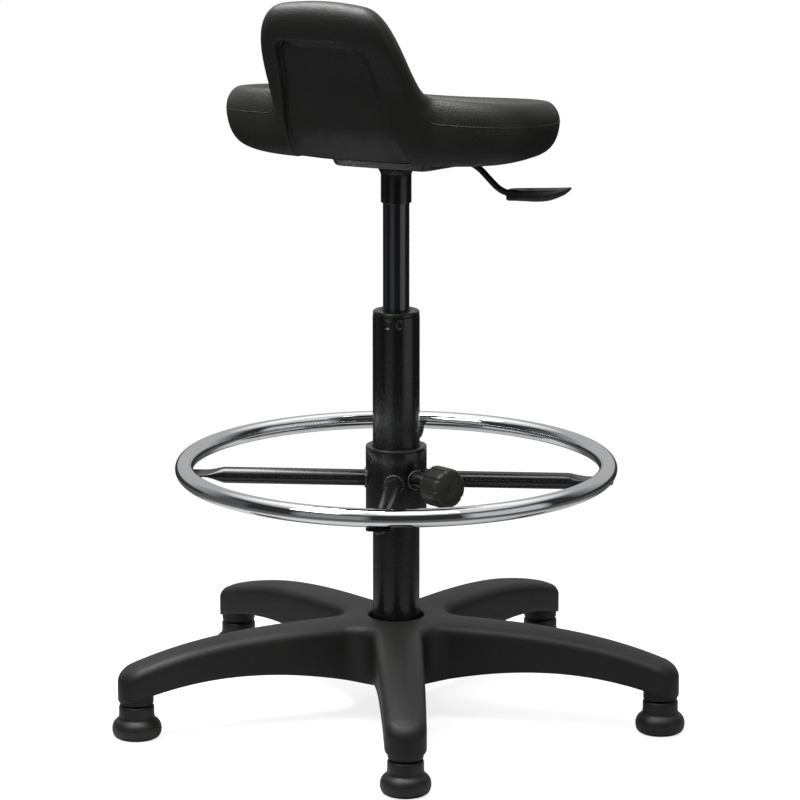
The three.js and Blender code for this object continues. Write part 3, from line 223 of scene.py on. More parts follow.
def grain_group():
    """Rounded pebbles of one width, with fine noise on them: a height and a hollow mask."""

    def build(tree, place, scale):
        inputs = {"Vector": place, "Scale": scale, "Randomness": 0.9}
        cells = tree.add("ShaderNodeTexVoronoi", inputs, feature="SMOOTH_F1").outputs["Distance"]
        fine = tree.noise(place, tree.math("MULTIPLY", scale, 2.3), Detail=2.0)
        pebble = tree.math("MULTIPLY", tree.spread(cells, 0.1, 0.75, 1.0, 0.0), 0.75)
        height = tree.math("ADD", pebble, tree.math("MULTIPLY", fine, 0.25))
        return {"Height": height, "Hollow": tree.spread(height, 0.25, 0.55, 1.0, 0.0)}

    return node_group("moulded_grain", 0.001, ("Height", "Hollow"), build)


def drift_group():
    """Slow change over a surface, and scattered rubbed spots."""

    def build(tree, place, scale):
        slow = tree.noise(place, scale, Detail=3.0, Roughness=0.6)
        spots = tree.noise(place, tree.math("MULTIPLY", scale, 6.0),
                           Detail=5.0, Roughness=0.7, Distortion=0.4)
        return {"Tone": tree.spread(slow, 0.3, 0.7), "Rubbed": tree.spread(spots, 0.56, 0.72)}

    return node_group("surface_drift", 0.06, ("Tone", "Rubbed"), build)


def scratch_group():
    """Fine hairlines in two directions."""

    def build(tree, place, scale):
        lines = []
        for turn, stretch in ((0.4, 16.0), (1.9, 11.0)):
            inputs = {"Vector": place, "Rotation": (0.3, turn, turn), "Scale": (1, stretch, 1)}
            turned = tree.add("ShaderNodeMapping", inputs).outputs[0]
            lines.append(tree.spread(tree.noise(turned, scale, Detail=2.0), 0.62, 0.72))
        return {"Lines": tree.math("MAXIMUM", *lines)}

    return node_group("hairlines", 0.02, ("Lines",), build)


# Finishes

RUBBED_SHARE = 0.35
RUBBED_TONE = 1.25


def shaded(color, factor):
    """A colour made lighter or darker, with full alpha."""
    return (*(min(1.0, channel * factor) for channel in color), 1.0)


def empty_material(name):
    """A new material, its node tree and its shader's inputs."""
    material = bpy.data.materials.new(name)
    material.use_nodes = True
    shader = material.node_tree.nodes["Principled BSDF"]
    return material, Tree(material.node_tree), shader.inputs


def new_material(name, color, rough, grain, drift, tone=(0.86, 1.2), dust=None, scratches=0.0,
                 metallic=0.0, coat=0.0, coat_rough=0.08, ior=1.5, bump=1.0):
    """A material from the shared groups: colour and gloss drift over the surface.

    rough is the lowest and highest roughness, grain the width and depth of the texture, drift
    the width of the slow change, tone the darkest and lightest share of the colour, and dust
    a pale colour that lies in the texture's hollows and how much of it.
    """
    material, tree, shader = empty_material(name)
    place = tree.place()
    change = tree.group(drift_group(), Vector=place, Width=drift)
    texture = tree.group(grain_group(), Vector=place, Width=grain[0])
    surface = tree.blend(change["Tone"], shaded(color, tone[0]), shaded(color, tone[1]))
    rubbed = tree.math("MULTIPLY", change["Rubbed"], RUBBED_SHARE)
    surface = tree.blend(rubbed, surface, shaded(color, tone[1] * RUBBED_TONE))
    if dust:
        settled = tree.math("MULTIPLY", texture["Hollow"], dust[1])
        surface = tree.blend(settled, surface, (*dust[0], 1.0))
    gloss = tree.spread(change["Rubbed"], 0.0, 1.0, *rough)
    if scratches:
        lines = tree.group(scratch_group(), Vector=place)["Lines"]
        gloss = tree.math("ADD", gloss, tree.math("MULTIPLY", lines, scratches))
    tree.fill(shader, {
        "Base Color": surface, "Roughness": gloss, "Metallic": metallic, "IOR": ior,
        "Coat Weight": coat, "Coat Roughness": coat_rough,
        "Normal": tree.relief(texture["Height"], bump, grain[1]),
    })
    return material


def plywood(name):
    """Birch plywood with its layers on the edge and its figure on the faces."""
    material, tree, shader = empty_material(name)
    place = tree.place()
    layers = tree.add(
        "ShaderNodeTexWave",
        {"Vector": place, "Scale": 210.0, "Distortion": 0.6, "Detail": 2.0},
        wave_type="BANDS", bands_direction="Z",
    ).outputs["Fac"]
    stretched = tree.add("ShaderNodeMapping", {"Vector": place, "Scale": (8.0, 90.0, 60.0)})
    figure = tree.noise(stretched.outputs[0], 3.0, Detail=6.0, Distortion=0.6)
    wood = tree.blend(figure, (0.42, 0.27, 0.14, 1), (0.62, 0.44, 0.26, 1))
    wood = tree.blend(tree.math("MULTIPLY", layers, 0.45), wood, (0.2, 0.11, 0.05, 1))
    tree.fill(shader, {
        "Base Color": wood,
        "Roughness": tree.spread(figure, 0.0, 1.0, 0.6, 0.8),
        "Normal": tree.relief(figure, 0.3, 0.0002),
    })
    return material


def finish_values():
    """The values of each finish by its material's name, with lengths in metres."""
    colors, sizes = bpy.context.scene.stool_finishes, bpy.context.scene.stool_sizes
    return {
        "moulded_foam": dict(
            color=colors.foam, rough=(0.47, 0.6), grain=(sizes.pebble, 0.0003), drift=0.09,
            tone=(0.85, 1.15), dust=((0.04, 0.038, 0.033), 0.25), bump=0.8, ior=1.45),
        "textured_nylon": dict(
            color=colors.nylon, rough=(0.48, 0.6), grain=(sizes.spark, 0.00022), drift=0.12,
            tone=(0.86, 1.18), dust=((0.042, 0.04, 0.037), 0.18), bump=0.7, ior=1.4),
        "moulded_plastic": dict(
            color=colors.plastic, rough=(0.36, 0.55), grain=(0.0006, 0.00006), drift=0.03,
            tone=(0.8, 1.3), dust=((0.07, 0.068, 0.06), 0.25), scratches=0.1, bump=0.6),
        "glide_plastic": dict(
            color=shaded(colors.plastic, 0.4)[:3], rough=(0.42, 0.6), grain=(0.0006, 0.00006),
            drift=0.03, tone=(0.8, 1.3), dust=((0.04, 0.038, 0.034), 0.12), scratches=0.1,
            bump=0.6),
        "cap_plastic": dict(
            color=colors.plastic, rough=(0.26, 0.4), grain=(0.0007, 0.00003), drift=0.02,
            bump=0.4),
        "black_powder_coat": dict(
            color=colors.paint, rough=(0.27, 0.36), grain=(0.0022, 0.00003), drift=0.05,
            tone=(0.85, 1.2), scratches=0.03, coat=0.35, coat_rough=0.16, bump=0.3),
        # The weld beads use the black paint made three times lighter, a painted sheen that stands
        # in for their glints. Their coat and low roughness give real gloss.
        "weld_with_painted_sheen": dict(
            color=shaded(colors.paint, 3.0)[:3], rough=(0.14, 0.26), grain=(0.0016, 0.00025),
            drift=0.01, tone=(0.8, 1.5), coat=1.0, coat_rough=0.06, ior=1.7),
        "gas_tube_paint": dict(
            color=colors.tube, rough=(0.2, 0.32), grain=(0.003, 0.00002), drift=0.04,
            tone=(0.85, 1.2), scratches=0.04, coat=0.8, coat_rough=0.09, ior=1.7, bump=0.25),
        "polished_chrome": dict(
            color=colors.chrome, rough=(0.025, 0.06), grain=(0.01, 0.00001), drift=0.05,
            tone=(0.97, 1.02), scratches=0.03, metallic=1.0, bump=0.15),
        "zinc_plate": dict(
            color=colors.zinc, rough=(0.26, 0.42), grain=(0.0012, 0.00003), drift=0.01,
            tone=(0.8, 1.2), scratches=0.12, metallic=1.0, bump=0.5),
        "black_zinc": dict(
            color=shaded(colors.zinc, 0.2)[:3], rough=(0.25, 0.4), grain=(0.0012, 0.00003),
            drift=0.01, tone=(0.8, 1.25), scratches=0.12, metallic=1.0, bump=0.5),
        "turned_brass": dict(
            color=(0.56, 0.38, 0.13), rough=(0.22, 0.36), grain=(0.0015, 0.00002), drift=0.01,
            tone=(0.85, 1.1), scratches=0.1, metallic=1.0, bump=0.4),
        "black_rubber": dict(
            color=(0.014, 0.014, 0.014), rough=(0.7, 0.85), grain=(0.0007, 0.00005), drift=0.01),
        "pale_plastic": dict(
            color=(0.62, 0.6, 0.54), rough=(0.4, 0.5), grain=(0.0008, 0.00003), drift=0.01,
            tone=(0.9, 1.05)),
    }


def finish_for(name):
    """The finish's material, made when it is first asked for."""
    found = bpy.data.materials.get(name)
    if found:
        return found
    if name == "birch_plywood":
        return plywood(name)
    return new_material(name, **finish_values()[name])


# Modelling


def turned_point(radius, turn, height=0.0):
    """A point at a distance from the axis, in a direction in degrees."""
    angle = math.radians(turn)
    return Vector((radius * math.cos(angle), radius * math.sin(angle), height))


def placed(turn, radius=0.0, height=0.0):
    """Turns a shape about the column and moves it out, in degrees and millimetres."""
    turned = Matrix.Rotation(math.radians(turn), 4, "Z")
    return turned @ Matrix.Translation((radius, 0, height))


LYING = Matrix.Rotation(math.pi / 2, 4, "Y")  # a shape's +Z comes to lie along +X


def spun(bm, profile, steps, where=None, closed=True):
    """Spins a profile of (radius, height) points round the Z axis, then places it."""
    verts = [bm.verts.new((radius, 0, height)) for radius, height in profile]
    pairs = list(zip(verts, verts[1:]))
    if closed and profile[0] != profile[-1] and min(profile[0][0], profile[-1][0]) > 0:
        pairs.append((verts[-1], verts[0]))
    edges = [bm.edges.new(pair) for pair in pairs]
    before = set(bm.verts) - set(verts)
    bmesh.ops.spin(
        bm, geom=verts + edges, cent=(0, 0, 0), axis=(0, 0, 1), dvec=(0, 0, 0),
        angle=math.tau, steps=steps, use_merge=True,
    )
    made = [v for v in bm.verts if v not in before]
    bmesh.ops.remove_doubles(bm, verts=made, dist=WELD)
    made = [v for v in bm.verts if v not in before]
    if where is not None:
        bmesh.ops.transform(bm, matrix=where, verts=made)
    return made


def skinned(bm, columns, rows, place, where=None, capped=False):
    """Adds a grid bent round into a skin: place(i, j) says where each of its points goes."""
    before = set(bm.verts)
    bmesh.ops.create_grid(bm, x_segments=columns, y_segments=rows, size=0.5)
    made = [v for v in bm.verts if v not in before]
    for vert in made:
        i = round((vert.co.x + 0.5) * columns)
        j = round((vert.co.y + 0.5) * rows)
        vert.co = place(i, j)
    bmesh.ops.remove_doubles(bm, verts=made, dist=WELD)
    made = [v for v in bm.verts if v not in before]
    if capped:
        rims = {e for v in made for e in v.link_edges if e.is_boundary}
        bmesh.ops.holes_fill(bm, edges=list(rims), sides=0)
    if where is not None:
        bmesh.ops.transform(bm, matrix=where, verts=made)
    return made


def softened(bm, verts, width, segments=2, angle=35):
    """Rounds the edges between these points that turn by more than an angle."""
    chosen = set(verts)
    sharp = [
        e for e in bm.edges
        if e.verts[0] in chosen and e.verts[1] in chosen and e.is_manifold
        and e.calc_face_angle(0) > math.radians(angle)
    ]
    bmesh.ops.bevel(
        bm, geom=sharp, offset=width, offset_type="OFFSET", segments=segments, profile=0.5,
        affect="EDGES", clamp_overlap=True, material=-1,
    )


def rounded_loop(corners, reach, steps):
    """A closed outline whose corners are cut by a curve that starts a distance before them."""
    points = []
    for k, corner in enumerate(corners):
        before = Vector(corners[k - 1]) - Vector(corner)
        after = Vector(corners[(k + 1) % len(corners)]) - Vector(corner)
        start = Vector(corner) + before.normalized() * min(reach, before.length * 0.45)
        end = Vector(corner) + after.normalized() * min(reach, after.length * 0.45)
        for i in range(steps + 1):
            t = i / steps
            a, b = start.lerp(Vector(corner), t), Vector(corner).lerp(end, t)
            points.append(a.lerp(b, t))
    return points


def new_object(name, bm):
    """Turns a shape into an object of the scene."""
    mesh = bpy.data.meshes.new(name)
    bm.to_mesh(mesh)
    bm.free()
    made = bpy.data.objects.new(name, mesh)
    bpy.context.scene.collection.objects.link(made)
    return made


def brought_in(bm):
    """Brings a shape from millimetres about the column to metres and to its place."""
    bmesh.ops.translate(bm, vec=AXIS, verts=bm.verts)
    bmesh.ops.scale(bm, vec=(MM, MM, MM), verts=bm.verts)


def new_piece(name, bm, body, finish, nodes=(), sharp=42):
    """Makes a shape a piece that rides on a body and stands in for the nodes."""
    bmesh.ops.recalc_face_normals(bm, faces=bm.faces)
    brought_in(bm)
    for face in bm.faces:
        face.smooth = True
    for edge in bm.edges:
        edge.smooth = not edge.is_manifold or edge.calc_face_angle(0) < math.radians(sharp)
    piece = new_object(name, bm)
    piece.data.materials.append(finish_for(finish))
    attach(piece, body)
    if nodes:
        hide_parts(*nodes)
    return piece


def spun_piece(name, profile, steps, body, finish, nodes, where=None):
    """Makes a piece of one spun profile."""
    bm = bmesh.new()
    spun(bm, profile, steps, where)
    return new_piece(name, bm, body, finish, nodes)


def smooth_step(value, low, high):
    """A soft step from 0 to 1 between two values."""
    t = min(max((value - low) / (high - low), 0.0), 1.0)
    return t * t * (3 - 2 * t)


def soft_zone(value, rise, fall):
    """1 inside a zone and 0 outside it, with a soft step where it starts and where it ends."""
    return smooth_step(value, *rise) * (1 - smooth_step(value, *fall))


# Base

FOOT_CIRCLE = 290.9
HUB_TOP = 107.0
HUB_BORE = 29.95
HUB_OUTER = 36.0
HUB_BOTTOM = 36.3
HUB_LIP = 1.4
BASE_WALL = 4.0
LEG_HALF_AT_HUB = 26.0
LEG_HALF_AT_FOOT = 21.5
LEG_TIP = 19.5
LEG_CROWN = 1.2
CROTCH_FILLET = 25.0
LEG_DROP = 27.8
LEG_DROP_POWER = 3.47
ARCH_HEIGHT = 61.0
ARCH_MIDDLE = 185.0
ARCH_INNER_DROP = 24.7
ARCH_OUTER_DROP = 15.0
LOWER_EDGE = 1.3
BOSS_RADIUS = 18.2
BOSS_BOTTOM = 37.5
FILLET_STEPS = 14
SIDE_STEPS = 20
TIP_STEPS = 12
TOP_ROWS, EDGE_ROWS, WALL_ROWS, LOWER_ROWS = 6, 8, 5, 3
HUB_EASE = 1.0
LIP_SHARE = 0.3  # of the lip's width and height, where its middle point lies
ROOF_FILLET = ((2.5, 4.5), (7.0, LEG_CROWN))  # off the wall's inside, and down from the roof


def leg_top(radius):
    """Height of a leg's top at a distance from the column."""
    return HUB_TOP - LEG_DROP * (radius / FOOT_CIRCLE) ** LEG_DROP_POWER


def leg_bottom(radius):
    """Height of a leg's arched lower edge at a distance from the column."""
    past = radius - ARCH_MIDDLE
    drop, span = (
        (ARCH_INNER_DROP, ARCH_MIDDLE - HUB_OUTER)
        if past < 0
        else (ARCH_OUTER_DROP, FOOT_CIRCLE - ARCH_MIDDLE)
    )
    return ARCH_HEIGHT - drop * (past / span) ** 2


def leg_outline(inner_radius):
    """Half of a leg's outline from crotch to tip, and the line that its top is drawn to."""
    half = math.pi / LEG_COUNT
    centre = (LEG_HALF_AT_HUB + CROTCH_FILLET) / math.sin(half)
    outer, inner = [], []
    for i in range(FILLET_STEPS + 1):
        angle = math.pi + half + (math.pi / 2 - half) * i / FILLET_STEPS
        outer.append((centre * math.cos(half) + CROTCH_FILLET * math.cos(angle),
                      centre * math.sin(half) + CROTCH_FILLET * math.sin(angle)))
        around = half * max(0.0, 1 - i / (FILLET_STEPS - 1))
        inner.append((inner_radius * math.cos(around), inner_radius * math.sin(around)))
    start = outer[-1][0]
    inner[-1] = ((inner_radius + start) / 2, 0.0)
    for i in range(1, SIDE_STEPS + 1):
        share = i / (SIDE_STEPS + 1)
        s = start + share * (FOOT_CIRCLE - start)
        outer.append((s, LEG_HALF_AT_HUB + share * (LEG_HALF_AT_FOOT - LEG_HALF_AT_HUB)))
        inner.append((s, 0.0))
    for i in range(TIP_STEPS + 1):
        angle = math.pi / 2 * i / TIP_STEPS
        outer.append((FOOT_CIRCLE + LEG_TIP * math.sin(angle), LEG_HALF_AT_FOOT * math.cos(angle)))
        inner.append((FOOT_CIRCLE, 0.0))
    return outer, inner


def moved_in(outline, distance):
    """The outline moved into the material by a distance, square to itself."""
    half = math.pi / LEG_COUNT
    moved = []
    for i, (s, w) in enumerate(outline):
        if i == 0:
            moved.append((s - distance * math.cos(half), w - distance * math.sin(half)))
        elif i == len(outline) - 1:
            moved.append((s - distance, 0.0))
        else:
            along = Vector(outline[i + 1]) - Vector(outline[i - 1])
            along.normalize()
            moved.append((s + distance * along.y, w - distance * along.x))
    return moved


def base_rows(rounding):
    """Rings of the base's skin, each a half leg's stations: the top, the side, the lower edge,
    the hollow underneath and the hub's bore, back to the top."""
    outer, inner = leg_outline(HUB_BORE + HUB_LIP)
    hollow_inner = leg_outline(HUB_OUTER)[1]
    last_bore = FILLET_STEPS - 1

    def at(line, height):
        return [(s, w, height(math.hypot(s, w))) for s, w in line]

    rows = []
    top_edge = moved_in(outer, rounding)
    for k in range(TOP_ROWS + 1):
        share = k / TOP_ROWS
        line = [(a[0] + share * (b[0] - a[0]), a[1] + share * (b[1] - a[1]))
                for a, b in zip(inner, top_edge)]
        rows.append(at(line, lambda r, share=share: leg_top(r) - LEG_CROWN * share ** 2))
    for k in range(1, EDGE_ROWS + 1):
        angle = math.pi / 2 * (1 - k / EDGE_ROWS)
        line = moved_in(outer, rounding * (1 - math.cos(angle)))
        fall = LEG_CROWN + rounding * (1 - math.sin(angle))
        rows.append(at(line, lambda r, fall=fall: leg_top(r) - fall))
    for k in range(1, WALL_ROWS + 1):
        share = k / WALL_ROWS
        rows.append(at(outer, lambda r, share=share: (
            (1 - share) * (leg_top(r) - LEG_CROWN - rounding)
            + share * (leg_bottom(r) + LOWER_EDGE))))
    for k in range(1, LOWER_ROWS + 1):
        angle = math.pi / 2 * k / LOWER_ROWS
        line = moved_in(outer, LOWER_EDGE * (1 - math.cos(angle)))
        rows.append(at(line, lambda r, angle=angle: (
            leg_bottom(r) + LOWER_EDGE * (1 - math.sin(angle)))))
    wall = moved_in(outer, BASE_WALL)
    rows.append(at(wall, leg_bottom))
    rows.append(at(wall, lambda r: leg_top(r) - LEG_CROWN - rounding - 1))
    for inset, fall in ROOF_FILLET:
        line = moved_in(outer, BASE_WALL + inset)
        rows.append(at(line, lambda r, fall=fall: leg_top(r) - BASE_WALL - fall))
    rows.append(at(hollow_inner, lambda r: leg_top(r) - BASE_WALL))
    roof = rows[-1]

    def bore_row(radius, height):
        row = []
        for i, (s, w, z) in enumerate(roof):
            if i > last_bore:
                row.append((s, w, z))
            else:
                scale = radius / math.hypot(s, w)
                row.append((s * scale, w * scale, height))
        return row

    lip, part = leg_top(HUB_BORE), LIP_SHARE * HUB_LIP
    bore = ((HUB_OUTER, HUB_BOTTOM + HUB_EASE), (HUB_OUTER - HUB_EASE, HUB_BOTTOM),
            (HUB_BORE + HUB_EASE, HUB_BOTTOM), (HUB_BORE, HUB_BOTTOM + HUB_EASE),
            (HUB_BORE, lip - HUB_LIP), (HUB_BORE + part, lip - part))
    rows += [bore_row(radius, height) for radius, height in bore]
    rows.append(rows[0])
    return rows


RIB_HALF = 1.5
CROSS_RIBS = ((145.0, 21.5), (215.0, 20.0))  # the start along the leg, and half the length
RIB_LIFT = 3.0
RIB_LOWEST = 44.0
RIB_TOP_DROP = 15.5
SPINE_CUTS = 14
SPINE_LIFT = 6.0
SPINE_MIDDLE = 76.0
BOSS_HOLE = 6.0
BOSS_EASE = 0.8
BOSS_DROP = 14.0


class STOOL_OT_star_base(bpy.types.Operator):
    """Makes the five-legged base with the ribs and bosses underneath"""

    bl_idname = "stool.star_base"
    bl_label = "Star base"

    def execute(self, context):
        rows = base_rows(context.scene.stool_sizes.leg_rounding / MM)
        stations = len(rows[0]) - 1
        around = 2 * stations * LEG_COUNT

        def place(i, j):
            leg, step = divmod(i % around, 2 * stations)
            side, station = (-1, step) if step <= stations else (1, 2 * stations - step)
            s, w, z = rows[j][station]
            return placed(LEG_TURNS[leg]) @ Vector((s, side * w, z))

        bm = bmesh.new()
        skinned(bm, around, len(rows) - 1, place)
        # Webs between the roof and the top along the middle of each leg are inside the wall.
        webs = [f for f in bm.faces if self.is_web(f)]
        bmesh.ops.delete(bm, geom=webs, context="FACES")
        bmesh.ops.remove_doubles(bm, verts=bm.verts, dist=WELD)
        new_piece("base_shell", bm, "base", "textured_nylon", ["star_base"],
                  sharp=50)
        self.ribs()
        return {"FINISHED"}

    @staticmethod
    def is_web(face):
        """True for an upright face on a leg's middle line, beyond the bore's wall."""
        for turn in LEG_TURNS:
            across, along = turned_point(1, turn + 90), turned_point(1, turn)
            if all(abs(v.co.dot(across)) < 0.01 and v.co.dot(along) > 0 for v in face.verts):
                return True
        return False

    def ribs(self):
        """The spine and cross ribs in each leg and the boss over each foot."""
        boxes = [((start, -half), (start + 2 * RIB_HALF, half)) for start, half in CROSS_RIBS]
        top = leg_top(FOOT_CIRCLE + LEG_TIP) - BOSS_DROP
        boss = [(BOSS_HOLE, BOSS_BOTTOM), (BOSS_RADIUS - BOSS_EASE, BOSS_BOTTOM),
                (BOSS_RADIUS, BOSS_BOTTOM + BOSS_EASE), (BOSS_RADIUS, top), (BOSS_HOLE, top)]
        bm = bmesh.new()
        for turn in LEG_TURNS:
            self.spine(bm, turn)
            for low, high in boxes:
                bmesh.ops.transform(bm, matrix=placed(turn), verts=self.rib_box(bm, low, high))
            spun(bm, boss, 48, placed(turn, FOOT_CIRCLE))
        new_piece("base_ribs", bm, "base", "textured_nylon", sharp=35)

    @staticmethod
    def rib_box(bm, low, high):
        """A rib between two corners in plan, from above the arch to below the roof."""
        made = bmesh.ops.create_cube(bm, size=1)["verts"]
        for vert in made:
            out = low[0] if vert.co.x < 0 else high[0]
            side = low[1] if vert.co.y < 0 else high[1]
            foot = max(leg_bottom(out) + RIB_LIFT, RIB_LOWEST)
            vert.co = (out, side, foot if vert.co.z < 0 else leg_top(out) - RIB_TOP_DROP)
        return made

    def spine(self, bm, turn):
        """The rib along a leg, whose edges follow the roof and the arch."""
        start, end = HUB_OUTER - 2, FOOT_CIRCLE - 10
        made = self.rib_box(bm, (start, -RIB_HALF), (end, RIB_HALF))
        long_edges = [e for e in bm.edges if e.verts[0] in made and e.verts[1] in made
                      and abs(e.verts[0].co.x - e.verts[1].co.x) > 50]
        bmesh.ops.subdivide_edges(bm, edges=long_edges, cuts=SPINE_CUTS)
        made = [v for v in bm.verts if abs(v.co.y) < RIB_HALF + 0.1
                and start - 0.1 < v.co.x < end + 0.1]
        for vert in made:
            if vert.co.z > SPINE_MIDDLE:
                vert.co.z = leg_top(vert.co.x) - BASE_WALL / 2
            else:
                vert.co.z = leg_bottom(vert.co.x) + SPINE_LIFT
        bmesh.ops.transform(bm, matrix=placed(turn), verts=made)


class STOOL_OT_glides(bpy.types.Operator):
    """Makes the five glides that the base stands on"""

    bl_idname = "stool.glides"
    bl_label = "Glides"

    profile = (
        (0, 0.4), (12.5, 0.4), (13.0, 0), (19.0, 0), (21.2, 0.5), (23.4, 1.9), (25.1, 4.2),
        (26.0, 7.4), (26.2, 10.4), (25.9, 13.2), (25.0, 15.8), (23.6, 18.0), (21.8, 19.8),
        (20.2, 20.9), (19.5, 21.8), (19.1, 23.0), (18.9, 24.2), (18.7, 26.0), (18.7, 33.2),
        (18.4, 34.6), (17.6, 35.4), (5.8, 35.4), (5.8, 12.2), (0, 12.2),
    )

    def execute(self, context):
        for k, turn in enumerate(LEG_TURNS, 1):
            spun_piece(f"glide_foot_{k}", self.profile, 72, "base", "glide_plastic",
                       [f"glide_{k}"], placed(turn, FOOT_CIRCLE))
        return {"FINISHED"}


# Column and gas spring

TUBE_WALL = 1.5


class STOOL_OT_column(bpy.types.Operator):
    """Makes the column with its crimps and the cap of its guide"""

    bl_idname = "stool.column"
    bl_label = "Column"

    floor_hole = 5.3
    wall = 2.0
    floor_thick = 3.0
    crimped = 16.0  # below the top, where the rows of points lie close together
    plain_rows, crimp_rows = 12, 26
    crimp_turns = (94.0, 123.3, 214.0, 243.3, 334.0, 3.3)
    crimp_half_width = 4.3
    crimp_half_height = 5.5
    crimp_drop = 6.9
    crimp_depth = 1.3

    def execute(self, context):
        low, top, radius = COLUMN_BOTTOM, COLUMN_TOP, COLUMN_RADIUS
        edge = top - self.crimped
        profile = [(self.floor_hole, low), (radius - 1.2, low), (radius - 0.35, low + 0.35),
                   (radius, low + 1.2)]
        plain, close = self.plain_rows, self.crimp_rows
        profile += [(radius, low + (edge - low) * k / plain) for k in range(1, plain)]
        profile += [(radius, edge + (self.crimped - 1) * k / close) for k in range(close + 1)]
        profile += [(radius - 0.3, top - 0.3), (radius - 1, top), (radius - self.wall, top),
                    (radius - self.wall, low + self.floor_thick),
                    (self.floor_hole, low + self.floor_thick)]
        bm = bmesh.new()
        spun(bm, profile, 288)
        for vert in bm.verts:
            if math.hypot(vert.co.x, vert.co.y) > radius - 0.2 and vert.co.z > edge:
                self.crimp(vert)
        new_piece("outer_column", bm, "base", "black_powder_coat",
                  ["column_tube"])
        self.cap()
        return {"FINISHED"}

    def crimp(self, vert):
        """Sinks a point of the column where one of the crimps is."""
        turn = math.degrees(math.atan2(vert.co.y, vert.co.x))
        along = abs(vert.co.z - (COLUMN_TOP - self.crimp_drop)) / self.crimp_half_height
        for place in self.crimp_turns:
            off = (turn - place + 180) % 360 - 180
            across = abs(math.radians(off)) * COLUMN_RADIUS / self.crimp_half_width
            reach = (across ** 3 + along ** 3) ** (1 / 3)
            sunk = self.crimp_depth * (1 - smooth_step(reach, 0.5, 1.0))
            if sunk:
                vert.co.xy *= 1 - sunk / COLUMN_RADIUS

    @staticmethod
    def cap():
        """The guide's cap, with a turned-in mouth round the gas tube."""
        low, high = box_mm("guide_bush")
        top, rim, shoulder = high.z, (high.x - low.x) / 2, COLUMN_TOP + GAP
        bore, sleeve = TUBE_RADIUS + GAP, 22.6
        profile = [(bore, low.z), (sleeve, low.z), (sleeve, shoulder), (rim - 0.4, shoulder),
                   (rim, COLUMN_TOP + 0.7), (rim, top - 1.9), (rim - 0.35, top - 0.9),
                   (rim - 1.1, top - 0.25), (rim - 2.1, top), (17.6, top), (16.9, top - 0.25),
                   (16.2, top - 1.1), (bore + 0.4, top - 1.4), (bore, top - 1.9)]
        spun_piece("column_cap", profile, 160, "base", "cap_plastic",
                   ["guide_bush"])


class STOOL_OT_gas_tube(bpy.types.Operator):
    """Makes the gas spring's tube and the welded socket under the seat"""

    bl_idname = "stool.gas_tube"
    bl_label = "Gas tube and socket"

    tube_hole = 5.4
    mouth = 3.2
    rows = 14
    bare_end = 40.0
    socket_radius = 16.2
    weld_ripple = (0.45, 0.35)  # how close the ripples lie, and how high they are

    def execute(self, context):
        low, top, radius, inner = TUBE_LOW.z, TUBE_HIGH.z, TUBE_RADIUS, TUBE_RADIUS - TUBE_WALL
        start = low + 1.4
        run = top - self.bare_end - start
        profile = [(self.tube_hole, low), (radius - 1.4, low), (radius - 0.4, low + 0.4),
                   (radius, start)]
        profile += [(radius, start + run * k / self.rows) for k in range(1, self.rows + 1)]
        profile += [(radius - 0.7, top - 0.5), (radius - 1.2, top), (self.mouth, top),
                    (self.mouth, top - TUBE_WALL), (inner, top - TUBE_WALL), (inner, low + 1.6),
                    (self.tube_hole, low + 1.6)]
        spun_piece("gas_tube", profile, 128, "seat_frame", "gas_tube_paint",
                   ["pressure_tube"])
        self.socket()
        return {"FINISHED"}

    def socket(self):
        """The socket with its rolled lower lip and the weld under the plate."""
        low, high = box_mm("taper_socket")
        outer, bore, plate = self.socket_radius, TUBE_RADIUS + GAP, PLATE_LOW.z - GAP
        weld = 0.5 * (high.x - low.x) - outer
        profile = [(bore, low.z + 0.3), (bore + 0.3, low.z), (outer - 0.5, low.z),
                   (outer, low.z + 0.5), (outer, plate - 11), (outer + 0.25 * weld, plate - 8.4),
                   (outer + 0.75 * weld, plate - 5.6), (outer + weld, plate - 2.6),
                   (outer + weld, plate), (outer, plate), (outer, high.z - 0.4),
                   (outer - 0.4, high.z), (bore - 0.5, high.z), (bore - 0.6, high.z - 3)]
        bm = bmesh.new()
        spun(bm, profile, 128)
        often, high_up = self.weld_ripple
        for vert in bm.verts:
            reach = math.hypot(vert.co.x, vert.co.y)
            if reach > outer + 0.2 and vert.co.z < plate - 0.1:
                vert.co.xy *= 1 + noise.noise(vert.co * often) * high_up / reach
        new_piece("seat_socket", bm, "seat_frame", "black_powder_coat",
                  ["taper_socket"])


# Foot ring

SPOKE_RADIUS = 8.8
SPOKE_AXIS = RING_HEIGHT - 12.8
BLADE_THICK = 3.0
BLADE_HALF = 13.4
BLADE_SQUARE = 0.72  # how much squarer than round the pressed end is
BLADE_START = 205.05
FLATTEN_START = 182.05
SPOKE_END = 231.45
BLADE_TOP = RING_HEIGHT - RING_TUBE - GAP
RING_POINTS = 40


